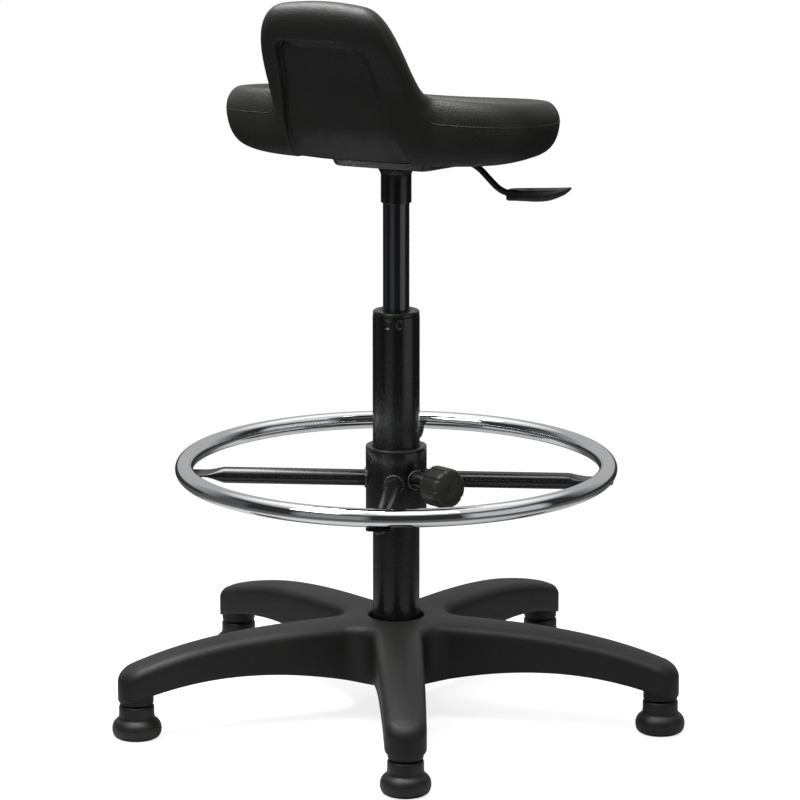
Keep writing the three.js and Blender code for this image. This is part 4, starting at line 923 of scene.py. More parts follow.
class STOOL_OT_foot_ring(bpy.types.Operator):
    """Makes the chromed foot ring and the screws that hold it"""

    bl_idname = "stool.foot_ring"
    bl_label = "Foot ring"

    def execute(self, context):
        profile = []
        for k in range(RING_POINTS):
            angle = math.tau * k / RING_POINTS
            profile.append((RING_RADIUS - RING_TUBE * math.sin(angle),
                            RING_HEIGHT + RING_TUBE * math.cos(angle)))
        spun_piece("foot_ring_tube", profile, 288, "ring", "polished_chrome",
                   ["foot_ring"])
        self.screws()
        return {"FINISHED"}

    @staticmethod
    def screws():
        """Pan-head screws with a hexagon socket, under the ends of the spokes."""
        head, socket, shank = BLADE_TOP - BLADE_THICK - GAP, 1.4, 3
        for k, turn in enumerate(SPOKE_TURNS, 1):
            where = placed(turn, RING_RADIUS)
            bm = bmesh.new()
            spun(
                bm,
                [(2.2, head - socket), (2.2, head - 3), (3.6, head - 3), (4.7, head - 2.55),
                 (5.3, head - 1.7), (5.5, head - 0.7), (5.5, head), (shank, head),
                 (shank, BLADE_TOP + 6.2), (0, BLADE_TOP + 6.5)],
                36, where, closed=False,
            )
            bmesh.ops.create_circle(
                bm, segments=6, radius=2.3, cap_ends=True,
                matrix=where @ Matrix.Translation((0, 0, head - socket)),
            )
            new_piece(f"ring_screw_head_{k}", bm, "ring", "black_zinc",
                      [f"ring_screw_{k}"], sharp=35)


def spoke_section(place, flat, count):
    """One section of a spoke, round at the collar and pressed flat under the ring."""
    half_width = SPOKE_RADIUS + flat * (BLADE_HALF - SPOKE_RADIUS)
    half_height = SPOKE_RADIUS + flat * (BLADE_THICK / 2 - SPOKE_RADIUS)
    middle = SPOKE_AXIS + flat * (BLADE_TOP - BLADE_THICK / 2 - SPOKE_AXIS)
    power = 1 - BLADE_SQUARE * flat
    section = []
    for i in range(count):
        angle = math.tau * (i + 0.5) / count
        c, s = math.cos(angle), math.sin(angle)
        section.append(Vector((
            place,
            math.copysign(half_width * abs(c) ** power, c),
            middle + math.copysign(half_height * abs(s) ** power, s),
        )))
    return section


class STOOL_OT_spokes(bpy.types.Operator):
    """Makes the four spokes, whose ends are pressed flat under the ring"""

    bl_idname = "stool.spokes"
    bl_label = "Spokes"

    points = 48
    bar_rows, flattening_rows, blade_rows = 8, 16, 8
    sunk_in = 1.2
    end_rounding = 5.0
    end_length = 9.0
    end_draw = 0.55  # how strongly the corners are drawn back

    def execute(self, context):
        count = self.points
        bar, blade = FLATTEN_START - COLLAR_RADIUS, SPOKE_END - BLADE_START
        stations = [(COLLAR_RADIUS - self.sunk_in + bar * k / self.bar_rows, 0.0)
                    for k in range(self.bar_rows + 1)]
        for k in range(1, self.flattening_rows + 1):
            share = k / self.flattening_rows
            place = FLATTEN_START + share * (BLADE_START - FLATTEN_START)
            stations.append((place, smooth_step(share, 0, 1)))
        stations += [(BLADE_START + blade * k / self.blade_rows, 1.0)
                     for k in range(1, self.blade_rows + 1)]
        sections = [spoke_section(place, flat, count) for place, flat in stations]
        for k, turn in enumerate(SPOKE_TURNS, 1):
            bm = bmesh.new()
            made = skinned(
                bm, count, len(sections) - 1, lambda i, j: sections[j][i % count],
                placed(turn), capped=True,
            )
            softened(bm, made, 0.5, angle=70)
            self.round_end(bm, turn)
            new_piece(f"spoke_bar_{k}", bm, "ring", "black_powder_coat",
                      [f"ring_spoke_{k}"])
        return {"FINISHED"}

    def round_end(self, bm, turn):
        """Rounds the blade's end in plan."""
        out, across = turned_point(1, turn), turned_point(1, turn + 90)
        reach = self.end_rounding
        for vert in bm.verts:
            past = vert.co.dot(out) - (SPOKE_END - self.end_length)
            if past > 0:
                corner = max(0.0, abs(vert.co.dot(across)) - (BLADE_HALF - reach)) / reach
                vert.co -= out * (1 - math.sqrt(max(0.0, 1 - corner ** 2))) * past * self.end_draw


# Collar and clamp

CLAMP_HOLE = 5.3
BOSS_END = COLLAR_RADIUS + 16.5
BOSS_OUTER = 9.0
BEAD_RIPPLES = 19
BEAD_RIPPLE, BEAD_UNEVEN = 0.16, 0.12
BEAD_FLAT = 0.8


def weld_bead(bm, radius, height, where, thick=1.7, seed=0.0):
    """A rippled bead where a bar of one radius meets the collar."""
    around, across = 96, 10

    def place(i, j):
        angle = math.tau * i / around
        lean = math.tau * j / across
        side, up = radius * math.cos(angle), radius * math.sin(angle)
        foot = math.sqrt(max(COLLAR_RADIUS ** 2 - side ** 2, 0))
        uneven = noise.noise(Vector((math.cos(angle) * 2, math.sin(angle) * 2, seed)))
        ripple = 1 + BEAD_RIPPLE * math.sin(angle * BEAD_RIPPLES + seed) + BEAD_UNEVEN * uneven
        out = thick * ripple * math.cos(lean)
        grow = 1 + thick * ripple * math.sin(lean) / radius
        return Vector((foot + out * BEAD_FLAT, side * grow, height + up * grow))

    skinned(bm, around, across, place, where)


class STOOL_OT_collar(bpy.types.Operator):
    """Makes the sliding collar with its bushes, welds and screw boss"""

    bl_idname = "stool.collar"
    bl_label = "Collar"

    wall = 3.0
    bush_flange = 2.6
    row_step, rows_each_way = 1.1, 7  # the rows of points round the clamp's hole

    def execute(self, context):
        low, high, radius = COLLAR_LOW.z, COLLAR_HIGH.z, COLLAR_RADIUS
        bore = radius - self.wall
        away = self.rows_each_way
        rows = [CLAMP_HEIGHT + self.row_step * k for k in range(-away, away + 1)]
        bm = bmesh.new()
        spun(
            bm,
            [(bore, low + 0.4), (bore + 0.4, low), (radius - 0.7, low), (radius - 0.2, low + 0.2),
             (radius, low + 0.7), *((radius, row) for row in rows), (radius, high - 0.7),
             (radius - 0.2, high - 0.2), (radius - 0.7, high), (bore + 0.4, high),
             (bore, high - 0.4), *((bore, row) for row in reversed(rows))],
            160,
        )
        self.drill(bm)
        new_piece("collar_sleeve", bm, "ring", "black_powder_coat",
                  ["ring_collar"])
        self.bush("collar_bush_upper", 1)
        self.bush("collar_bush_lower", -1)
        self.boss()
        self.welds()
        return {"FINISHED"}

    @staticmethod
    def drill(bm):
        """Opens the hole that the clamp's pad moves in, through the collar's wall."""
        out = turned_point(1, KNOB_TURN)
        side = out.cross(Vector((0, 0, 1)))

        def off(point):
            return Vector((point.dot(side), point.z - CLAMP_HEIGHT))

        inside = [f for f in bm.faces if f.calc_center_median().dot(out) > 0
                  and off(f.calc_center_median()).length < CLAMP_HOLE]
        bmesh.ops.delete(bm, geom=inside, context="FACES")
        rim = [e for e in bm.edges if e.is_boundary]
        for vert in {v for e in rim for v in e.verts}:
            across, up = off(vert.co).normalized() * CLAMP_HOLE
            along = math.sqrt(vert.co.x ** 2 + vert.co.y ** 2 - across ** 2)
            vert.co = along * out + across * side + Vector((0, 0, CLAMP_HEIGHT + up))
        bmesh.ops.bridge_loops(bm, edges=rim)

    def bush(self, name, flip):
        """A bush whose flange covers the collar's upper end (1) or its lower end (-1)."""
        low, high = box_mm(name)
        rim, bore = (high.x - low.x) / 2, COLUMN_RADIUS + GAP
        sleeve = COLLAR_RADIUS - self.wall - GAP
        end, inside = (high.z, low.z) if flip > 0 else (low.z, high.z)
        flange = self.bush_flange * flip
        profile = [(bore, inside), (sleeve, inside), (sleeve, end - flange),
                   (rim - 0.3, end - flange), (rim, end - flange + 0.3 * flip),
                   (rim, end - 0.9 * flip), (rim - 0.3, end - 0.3 * flip), (rim - 0.9, end),
                   (bore + 1.6, end), (bore + 0.7, end - 0.3 * flip), (bore, end - 1.3 * flip)]
        spun_piece(f"{name}_ring", profile, 144, "ring_slide", "cap_plastic",
                   [name])

    @staticmethod
    def boss():
        """The threaded boss that the clamp screw passes through."""
        start, end, outer = COLLAR_RADIUS - 0.8, BOSS_END, BOSS_OUTER
        profile = [(CLAMP_HOLE, start), (outer, start), (outer, end - 1.2),
                   (outer - 0.3, end - 0.4), (outer - 1.1, end), (CLAMP_HOLE + 0.9, end),
                   (CLAMP_HOLE, end - 0.9)]
        spun_piece("screw_boss", profile, 64, "ring", "black_powder_coat",
                   ["clamp_boss"], placed(KNOB_TURN, 0, CLAMP_HEIGHT) @ LYING)

    @staticmethod
    def welds():
        """Beads round the spokes and the boss."""
        bm = bmesh.new()
        for k, turn in enumerate(SPOKE_TURNS):
            weld_bead(bm, SPOKE_RADIUS + 0.6, SPOKE_AXIS, placed(turn), seed=k * 1.7)
        weld_bead(bm, BOSS_OUTER + 0.5, CLAMP_HEIGHT, placed(KNOB_TURN), 1.5, 9.1)
        # The beads' finish is a lighter copy of the black paint, a painted sheen.
        new_piece("collar_welds", bm, "ring", "weld_with_painted_sheen", sharp=80)


class STOOL_OT_clamp_knob(bpy.types.Operator):
    """Makes the fluted knob and its screw"""

    bl_idname = "stool.clamp_knob"
    bl_label = "Clamp knob"

    start = COLLAR_RADIUS + 28.5
    radius = 21.6
    flutes = 10
    flute_points = 24
    flute_power = 12  # the higher, the narrower the flutes
    # Along the knob, the inset of its side, and how deep the flutes are there
    layers = (
        (0.0, 15.6, 0.0), (0.0, 3.2, 0.3), (0.15, 2.0, 0.6), (0.6, 1.1, 0.9), (1.4, 0.5, 1.0),
        (2.6, 0.15, 1.0), (4.5, 0.0, 1.0), (10.0, 0.0, 1.0), (16.0, 0.0, 1.0), (21.0, 0.0, 1.0),
        (23.2, 0.15, 1.0), (24.7, 0.6, 0.95), (25.9, 1.4, 0.85), (26.8, 2.5, 0.65),
        (27.4, 3.9, 0.4), (27.7, 5.6, 0.15), (28.0, 12.0, 0.0), (28.0, 16.4, 0.0),
        (27.8, 17.2, 0.0), (27.0, 18.0, 0.0), (26.6, 19.2, 0.0), (26.4, 21.6, 0.0),
    )
    thread_radius = 5.0
    thread_depth = 0.62
    thread_pitch = 1.5
    thread_points = 28
    rows_per_pitch = 4
    thread_start = COLUMN_RADIUS + 2.8
    thread_in_knob = 17.7
    end_chamfer = 0.5

    def execute(self, context):
        depth = context.scene.stool_sizes.flute_depth / MM
        around = self.flutes * self.flute_points

        def place(i, j):
            along, inset, share = self.layers[j]
            angle = math.tau * (i % around) / around
            wave = (1 - math.cos(self.flutes * angle)) / 2
            reach = max(self.radius - inset - depth * share * wave ** self.flute_power, 0)
            return Vector((reach * math.cos(angle), reach * math.sin(angle), along))

        bm = bmesh.new()
        where = placed(KNOB_TURN, self.start, CLAMP_HEIGHT) @ LYING
        skinned(bm, around, len(self.layers) - 1, place, where)
        bmesh.ops.holes_fill(bm, edges=[e for e in bm.edges if e.is_boundary], sides=0)
        new_piece("knob_body", bm, "clamp_knob", "moulded_plastic",
                  ["clamp_knob"])
        self.thread()
        return {"FINISHED"}

    def thread(self):
        """The clamp screw with its thread, whose ends are chamfered."""
        start = self.thread_start
        length_out = self.start + self.thread_in_knob - start
        around = self.thread_points
        rows = int(length_out / self.thread_pitch * self.rows_per_pitch)

        def place(i, j):
            share = (i % around) / around
            angle = math.tau * (i % around) / around
            along = length_out * j / rows
            phase = (along / self.thread_pitch - share) % 1
            cut = self.end_chamfer if j in (0, rows) else self.thread_depth * abs(2 * phase - 1)
            reach = self.thread_radius - cut
            return Vector((reach * math.cos(angle), reach * math.sin(angle), along))

        bm = bmesh.new()
        where = placed(KNOB_TURN, start, CLAMP_HEIGHT) @ LYING
        skinned(bm, around, rows, place, where, capped=True)
        new_piece("knob_thread", bm, "clamp_knob", "zinc_plate",
                  ["clamp_screw"], sharp=80)


# Seat plate and lever

PLATE_SHEET = 2.5
PLATE_FLARE = 5.0
PLATE_FLANGE = 14.0
PLATE_ROUNDING = (7.0, 6)  # how far before a corner its curve starts, and the curve's steps
PLATE_CORNERS = (  # where each corner is, and how far it moves as the plan grows by 1
    (52, 42, 0.6, 1), (-52, 42, -0.6, 1), (-74, -20, -1, 0.3), (-74, -44, -1, -0.4),
    (-50, -64, -0.5, -0.5), (50, -64, 0.5, -0.5), (74, -44, 1, -0.4), (74, -20, 1, 0.3),
)
BOLTED_SIDES = ((0, 7), (1, 2), (3, 4), (5, 6))  # the corners at each slanting side's ends


def plate_plan(out):
    """The corners of the seat plate's plan, moved out by a distance."""
    return [Vector((x + out * with_x, y + out * with_y)) for x, y, with_x, with_y in PLATE_CORNERS]


def plate_loop(out, height):
    """The seat plate's plan moved out by a distance, with rounded corners."""
    return [Vector((*point, height)) for point in rounded_loop(plate_plan(out), *PLATE_ROUNDING)]


class STOOL_OT_seat_plate(bpy.types.Operator):
    """Makes the pressed steel plate under the seat and its bolts"""

    bl_idname = "stool.seat_plate"
    bl_label = "Seat plate"

    middle = -30.0  # how far inside the plan the flat bottom's loops lie
    hole = 16.5
    notch_place = (-80, 0, 20)
    notch_size = (46, 12, 40)

    def execute(self, context):
        low, top, rim = PLATE_LOW.z, PLATE_HIGH.z, PLATE_FLARE + PLATE_FLANGE
        flange, upper = top - PLATE_SHEET, low + PLATE_SHEET
        # How far out each loop of the plate's skin lies, and its height
        steps = (
            (self.middle, low), (-4.4, low), (-3, low + 0.25), (-1.2, low + 0.95), (0, low + 2.1),
            (PLATE_FLARE - 0.5, flange - 1.2), (PLATE_FLARE + 0.6, flange), (rim - 0.5, flange),
            (rim, flange + 0.5), (rim, top - 0.5), (rim - 0.5, top), (PLATE_FLARE - 1.2, top),
            (PLATE_FLARE - 2.5, top - 1.2), (-PLATE_SHEET, upper + 2.1), (-4.5, upper),
            (self.middle, upper),
        )
        loops = [plate_loop(out, height) for out, height in steps]
        count = len(loops[0])
        hole = [self.round_hole(loops[0], low), self.round_hole(loops[0], upper)]
        rings = [hole[0], *loops, hole[1], hole[0]]
        bm = bmesh.new()
        skinned(bm, count, len(rings) - 1, lambda i, j: rings[j][i % count])
        plate = new_piece("pressed_plate", bm, "seat_frame", "black_powder_coat",
                          ["seat_plate"], sharp=50)
        self.notch(plate)
        self.bolts()
        return {"FINISHED"}

    def round_hole(self, loop, height):
        """The socket's hole, with as many points as the plate's outline."""
        return [Vector((*(point.xy.normalized() * self.hole), height)) for point in loop]

    def notch(self, plate):
        """Cuts the notch in the plate's side that the lever comes through."""
        bm = bmesh.new()
        x, y, z = self.notch_place
        where = Matrix.Translation((x, y, PLATE_LOW.z + PLATE_SHEET + z))
        bmesh.ops.create_cube(bm, size=1, matrix=where @ Matrix.Diagonal((*self.notch_size, 1)))
        brought_in(bm)
        cutter = new_object("notch_cutter", bm)
        cut = plate.modifiers.new("notch", "BOOLEAN")
        cut.operation = "DIFFERENCE"
        cut.solver = "EXACT"
        cut.object = cutter
        graph = bpy.context.evaluated_depsgraph_get()
        result = bpy.data.meshes.new_from_object(plate.evaluated_get(graph))
        plate.modifiers.clear()
        plate.data = result
        bpy.data.objects.remove(cutter)

    @staticmethod
    def bolts():
        """Hexagon bolts with a pressed washer face, up through the flange."""
        flange, shank = PLATE_HIGH.z - PLATE_SHEET, 4
        corners = plate_plan(PLATE_FLARE + PLATE_FLANGE / 2)
        for k, (first, second) in enumerate(BOLTED_SIDES, 1):
            place = (corners[first] + corners[second]) / 2
            where = Matrix.Translation((place.x, place.y, 0))
            bm = bmesh.new()
            spun(
                bm,
                [(0, flange - 1.5), (6, flange - 1.5), (6.2, flange - 1.2), (6.2, flange - 0.5),
                 (5.9, flange - GAP), (shank, flange - GAP), (shank, flange + 15.2),
                 (0, flange + 15.6)],
                36, where,
            )
            head = bmesh.ops.create_cone(
                bm, segments=6, radius1=5.6, radius2=5.9, depth=3.8, cap_ends=True,
                matrix=where @ Matrix.Translation((0, 0, flange - 3.3)),
            )["verts"]
            softened(bm, head, 0.45, angle=30)
            new_piece(f"plate_bolt_{k}", bm, "seat_frame", "black_zinc",
                      [f"seat_bolt_{k}"], sharp=32)


BEND_STEPS = 12


def bar_stops(path, bend):
    """Points and directions along a bent bar: straight runs with a curve at each corner."""
    stops = [(path[0], (path[1] - path[0]).normalized())]
    for before, corner, after in zip(path, path[1:], path[2:]):
        start = corner + (before - corner).normalized() * bend
        end = corner + (after - corner).normalized() * bend
        for k in range(BEND_STEPS + 1):
            t = k / BEND_STEPS
            point = (1 - t) ** 2 * start + 2 * t * (1 - t) * corner + t ** 2 * end
            way = (1 - t) * (corner - start) + t * (end - corner)
            stops.append((point, way.normalized()))
    stops.append((path[-1], (path[-1] - path[-2]).normalized()))
    return stops


class STOOL_OT_lever(bpy.types.Operator):
    """Makes the lever's bent rod and its paddle grip"""

    bl_idname = "stool.lever"
    bl_label = "Lever"

    rod_radius = 3.4
    rod_points = 32
    rod_start = 2.0  # beyond the column's axis, on the side away from the grip
    upper_bend = 88.5
    lower_bend = 123.5
    fall = 32.5
    bend_reach = 15.0
    rod_in_grip = 25.7
    grip_start = 129.0
    grip_length = 68.5
    grip_rise = 10.5
    grip_rows = 136
    grip_points = 56
    # Along the grip, its half width, its half thickness, its lift and how square it is
    grip_shape = (
        (0.0, 7.6, 5.0, 0.6, 0.5), (0.006, 8.4, 5.7, 0.2, 0.5), (0.03, 9.3, 6.0, 0.1, 0.5),
        (0.15, 10.6, 6.1, 0.8, 0.5), (0.3, 11.7, 6.4, 1.4, 0.52), (0.45, 12.6, 6.7, 1.9, 0.55),
        (0.6, 13.0, 6.7, 2.8, 0.6), (0.7, 12.9, 6.3, 3.8, 0.62), (0.8, 12.4, 5.3, 5.4, 0.66),
        (0.88, 11.2, 4.2, 7.0, 0.7), (0.94, 9.4, 2.9, 8.7, 0.75), (0.98, 7.0, 1.7, 10.1, 0.8),
        (0.995, 4.9, 1.2, 10.7, 0.85), (1.0, 3.6, 0.8, 11.1, 0.9),
    )
    # Shares of the grip's length where each form sets in and where it ends
    scoop_zone = ((0.08, 0.3), (0.82, 0.98))
    tooth_zone = ((0.34, 0.36), (0.78, 0.8))
    waist_zone = ((0.05, 0.35), (0.6, 0.95))
    flat_to = (0.35, 0.85)  # shares of the half width
    scoop_depth = 1.5
    tooth_height = 0.4
    tooth_turns = 240  # radians of the teeth's wave over the grip's length
    waist = 0.1

    def execute(self, context):
        height = middle_height("lever_pivot_pin")
        drop = height - self.fall
        slope = self.grip_rise / self.grip_length
        end = self.grip_start + self.rod_in_grip
        path = [Vector((self.rod_start, 0, height)), Vector((-self.upper_bend, 0, height)),
                Vector((-self.lower_bend, 0, drop)),
                Vector((-end, 0, drop + slope * (end - self.lower_bend)))]
        stops = bar_stops(path, self.bend_reach)
        around = self.rod_points

        def place(i, j):
            point, way = stops[j]
            angle = math.tau * (i % around) / around
            side, up = Vector((0, 1, 0)), Vector((-way.z, 0, way.x))
            return point + self.rod_radius * (math.cos(angle) * side + math.sin(angle) * up)

        bm = bmesh.new()
        made = skinned(bm, around, len(stops) - 1, place, capped=True)
        softened(bm, made, 0.5, angle=60)
        new_piece("lever_bar", bm, "lever", "black_powder_coat", ["lever_rod"])
        self.grip(drop + slope * (self.grip_start - self.lower_bend))
        return {"FINISHED"}

    def shape_at(self, share):
        """The grip's section at a share of its length, between the two given ones beside it."""
        for low, high in zip(self.grip_shape, self.grip_shape[1:]):
            if share <= high[0]:
                t = (share - low[0]) / (high[0] - low[0])
                return [a + t * (b - a) for a, b in zip(low, high)]
        return list(self.grip_shape[-1])

    def grip(self, height):
        """The paddle: a thick root, a scooped and toothed top and a nose that turns up."""
        even = {k / self.grip_rows for k in range(self.grip_rows + 1)}
        shares = sorted(even | {row[0] for row in self.grip_shape})
        around = self.grip_points

        def place(i, j):
            share, width, half, lift, power = self.shape_at(shares[j])
            angle = math.tau * ((i % around) + 0.5) / around
            c, s = math.cos(angle), math.sin(angle)
            side = math.copysign(width * abs(c) ** power, c)
            rise = math.copysign(half * abs(s) ** power, s)
            if s > 0:
                scoop = soft_zone(share, *self.scoop_zone)
                flat = 1 - smooth_step(abs(side) / width, *self.flat_to)
                wave = soft_zone(share, *self.tooth_zone) * math.sin(share * self.tooth_turns)
                rise -= flat * (self.scoop_depth * scoop - self.tooth_height * wave)
            else:
                side *= 1 - self.waist * soft_zone(share, *self.waist_zone) * abs(s)
            along = self.grip_start + share * self.grip_length
            return Vector((-along, side, height + lift + rise))

        bm = bmesh.new()
        skinned(bm, around, len(shares) - 1, place, capped=True)
        new_piece("lever_paddle", bm, "lever", "moulded_plastic",
                  ["lever_grip"])


# Seat

UNDERSIDE = 612.3
BOARD_TOP = UNDERSIDE + 12
DISH_HEIGHT = BOARD_TOP + 10.7
HALF_WIDTH = 175.0
FRONT_DEPTH = 120.0
REAR_DEPTH = 112.5
FRONT_POWER = 2.1
REAR_POWER = 3.05
RIM_REAR = UNDERSIDE + 72.0
RIM_FRONT = UNDERSIDE + 37.2
LOW_FRONT = UNDERSIDE - 4.3
LOW_REAR = UNDERSIDE + 0.7
BACK_TOP = UNDERSIDE + 177.2
BACK_ARCH = 0.14
TOP_REACH, TOP_HALF = 174.0, 15.0
FOOT_REACH, FOOT_HALF = 119.8, 23.6
FRONT_BOW, REAR_BOW = -2.2, 8.2
BLOCK_REACH = 146.7
FLANK_START, FLANK_END = 13.5, 43.5
RIM_SECTION = (
    (0, 0.45), (0.25, 0.46), (0.5, 0.5), (0.7, 0.66), (0.82, 0.9), (0.89, 1.03), (0.95, 1.04),
    (1, 0.9), (1.018, 0.7), (1, 0.35), (0.938, 0.06), (0.79, -0.04), (0.76, 0), (0.7, 0), (0, 0),
)
DISH = (0, 0.14, 0.5)
BACK_HEIGHTS = (0.45, 0.46, 0.5, 0.74, 1.1, 1.55, 2.01, 1.94, 1.6, 1.12, 0.45, -0.02, 0, 0, 0)
FLAT_FROM = 12  # the first control point that lies on the flat underside
BACK_SPREAD = 30  # degrees from the middle to where the back's top has sunk fully
PARTING = 8 / 14  # the share along a section where the two mould halves meet
RIDGE_HALF = 0.0021
COARSE_STEPS = 150
FINE_REACH, FINE_STEP, FINE_COUNT = 0.031, 0.002, 14  # beside the parting line
RIDGE_STEP, RIDGE_COUNT = 0.0006, 2
TURN_STEPS = ((32, 0.4), (75, 0.9), (180, 1.8))  # degrees off the middle, and the step up to there


def front_face(share):
    """Depth of the back's front face at a share of its height."""
    low = FOOT_REACH - FOOT_HALF
    return low + share * (TOP_REACH - TOP_HALF - low)


def rear_face(share):
    """Depth of the back's rear face at a share of its height."""
    low = FOOT_REACH + FOOT_HALF
    return low + share * (TOP_REACH + TOP_HALF - low)


BACK_REACHES = (
    0, 0.25 * REAR_DEPTH, 0.5 * REAR_DEPTH, front_face(-0.25) - 0.06 * REAR_DEPTH,
    front_face(0.1), front_face(0.55) + FRONT_BOW, front_face(1), rear_face(1),
    rear_face(0.6) + REAR_BOW, rear_face(0.12), BLOCK_REACH, 0.92 * REAR_DEPTH,
    0.8 * REAR_DEPTH, 0.7 * REAR_DEPTH, 0,
)


def curve_at(points, share):
    """A point on the smooth curve drawn from control points."""
    ends = len(points) - 1
    whole = [2 * points[0] - points[1], *points, 2 * points[ends] - points[ends - 1]]
    u = share * ends
    i = min(int(u), ends - 1)
    t = u - i
    weights = ((1 - t) ** 3, 3 * t ** 3 - 6 * t ** 2 + 4,
               -3 * t ** 3 + 3 * t ** 2 + 3 * t + 1, t ** 3)
    return sum((w * whole[i + n] for n, w in enumerate(weights)), Vector((0, 0))) / 6


def seat_controls(angle):
    """Control points of the seat's section in one direction, and how far it is lifted."""
    sine, cosine = math.sin(angle), math.cos(angle)
    off = abs(math.degrees(math.atan2(sine, cosine)))
    power, depth = (REAR_POWER, REAR_DEPTH) if cosine > 0 else (FRONT_POWER, FRONT_DEPTH)
    reach = (abs(sine / HALF_WIDTH) ** power + abs(cosine / depth) ** power) ** (-1 / power)
    t = min(max((off - FLANK_START) / (FLANK_END - FLANK_START), 0), 1)
    lift = 1 - t ** 3 * (t * (6 * t - 15) + 10)
    rearward = (1 + cosine) / 2
    rim = RIM_FRONT + rearward * (RIM_REAR - RIM_FRONT)
    low = LOW_FRONT + rearward * (LOW_REAR - LOW_FRONT)
    top = BACK_TOP - (BACK_TOP - rim) * BACK_ARCH * (min(off, BACK_SPREAD) / BACK_SPREAD) ** 2

    def height(share):
        return low + min(share, 1) * (rim - low) + max(share - 1, 0) * (top - rim)

    controls = []
    for i, (out, high) in enumerate(RIM_SECTION):
        own = height(high) + lift * (height(BACK_HEIGHTS[i]) - height(high))
        if i >= FLAT_FROM:
            own = UNDERSIDE
        share = DISH[i] if i < len(DISH) else 1
        controls.append(Vector((
            reach * (out + lift * (BACK_REACHES[i] / REAR_DEPTH - out)),
            DISH_HEIGHT + share * (own - DISH_HEIGHT),
        )))
    return controls, lift


def seat_turns():
    """Directions of the sections, closer together where the back is."""
    half = [0.0]
    while half[-1] < 180:
        step = next(step for end, step in TURN_STEPS if half[-1] < end)
        half.append(min(half[-1] + step, 180.0))
    return half + [360 - off for off in reversed(half[1:-1])]


def seat_shares():
    """Shares along a section, closer together at the parting line."""
    def beside(step, count):
        return [PARTING + k * step for k in range(-count, count + 1)]

    even = [k / COARSE_STEPS for k in range(COARSE_STEPS + 1)]
    coarse = [share for share in even if abs(share - PARTING) > FINE_REACH]
    fine = [share for share in beside(FINE_STEP, FINE_COUNT) if share != PARTING]
    return sorted(coarse + fine + beside(RIDGE_STEP, RIDGE_COUNT))


class STOOL_OT_seat(bpy.types.Operator):
    """Makes the moulded seat with its back, its sunk rear panel and its parting line"""

    bl_idname = "stool.seat"
    bl_label = "Seat"

    panel_top = 744.0
    panel_half_top = 49.0
    panel_half_low = 66.0
    panel_middle = 4.5
    panel_corners = (24.0, 8.0)
    crisp_from = (0.5, 0.95)  # shares of the half width where the edge turns crisp
    edge_start, edge_end = (-3.0, 1.6), (7.0, -4.8)  # the soft edge's, and what crisp adds
    groove_depth = 0.36  # of the panel's own depth
    groove_end = (2.2, 5.4)
    panel_zone = ((0.52, 0.56), (0.8, 0.84))  # shares along the seat's section

    def execute(self, context):
        sizes = context.scene.stool_sizes
        depth, ridge = sizes.panel_depth / MM, sizes.parting_ridge / MM
        turns, shares = seat_turns(), seat_shares()
        sections = []
        for turn in turns:
            angle = math.radians(turn)
            controls, lift = seat_controls(angle)
            section = []
            for share in shares:
                out, high = curve_at(controls, share)
                side_on = 1 - smooth_step(lift, 0.25, 0.75)
                out += ridge * side_on * max(0.0, 1 - abs(share - PARTING) / RIDGE_HALF)
                point = Vector((out * math.sin(angle), out * math.cos(angle), high))
                if share > 0.5 and math.cos(angle) > 0 and high > UNDERSIDE - 6:
                    point.y -= depth * self.sunk(point.x, point.z, share)
                section.append(point)
            sections.append(section)
        bm = bmesh.new()
        count = len(turns)
        skinned(bm, count, len(shares) - 1, lambda i, j: sections[i % count][j])
        seat = new_piece("seat_cushion", bm, "seat_frame", "moulded_foam",
                         ["seat_moulding"], sharp=80)
        return {"FINISHED"}

    def sunk(self, side, height, share):
        """How far a point of the rear face is sunk, from 0 at the panel's edge to 1."""
        down = self.panel_top - height
        fall = down / (self.panel_top - UNDERSIDE)
        half = self.panel_half_top + fall * (self.panel_half_low - self.panel_half_top)
        across = half - abs(side - self.panel_middle)
        corner = self.panel_corners[side > self.panel_middle]
        if across < corner and down < corner:
            inside = corner - math.hypot(corner - across, corner - down)
        else:
            inside = min(across, down)
        crisp = smooth_step(side - self.panel_middle, *(part * half for part in self.crisp_from))
        ends = (soft + more * crisp for soft, more in (self.edge_start, self.edge_end))
        edge = smooth_step(inside, *ends)
        edge += self.groove_depth * crisp * edge * (1 - smooth_step(inside, *self.groove_end))
        return edge * soft_zone(share, *self.panel_zone)


# Small parts that keep the shapes of their nodes


class STOOL_OT_inner_parts(bpy.types.Operator):
    """Gives the small and inner parts their finishes"""

    bl_idname = "stool.inner_parts"
    bl_label = "Inner parts"

    finishes = {
        "zinc_plate": ["hub_ring", "lower_washer", "upper_washer", "rod_clip", "piston",
                       "lever_bracket", "lever_pivot_pin", "release_pin"]
        + [f"glide_stem_{i}" for i in range(1, 6)] + [f"t_nut_{i}" for i in range(1, 5)],
        "turned_brass": ["ball_ring", "rod_guide", "valve_block"],
        "black_rubber": ["buffer_ring", "rod_seal", "piston_ring"],
        "polished_chrome": ["piston_rod"],
        "pale_plastic": ["clamp_pad"],
        "birch_plywood": ["insert_board"],
    }

    def execute(self, context):
        for finish, names in self.finishes.items():
            for name in names:
                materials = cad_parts[name].data.materials
                materials.clear()
                materials.append(finish_for(finish))
        return {"FINISHED"}


# Stage

CAMERA_TURN = 205.0
CAMERA_PITCH = 12.55
CAMERA_DISTANCE = 4327.571
CAMERA_FOCUS = 4081.66  # in pixels of a frame 800 wide
FRAME_WIDTH = 800
SENSOR_WIDTH = 36.0
AIM_HEIGHT = 360.0
AIM_PIXEL = (396.19, 383.465)
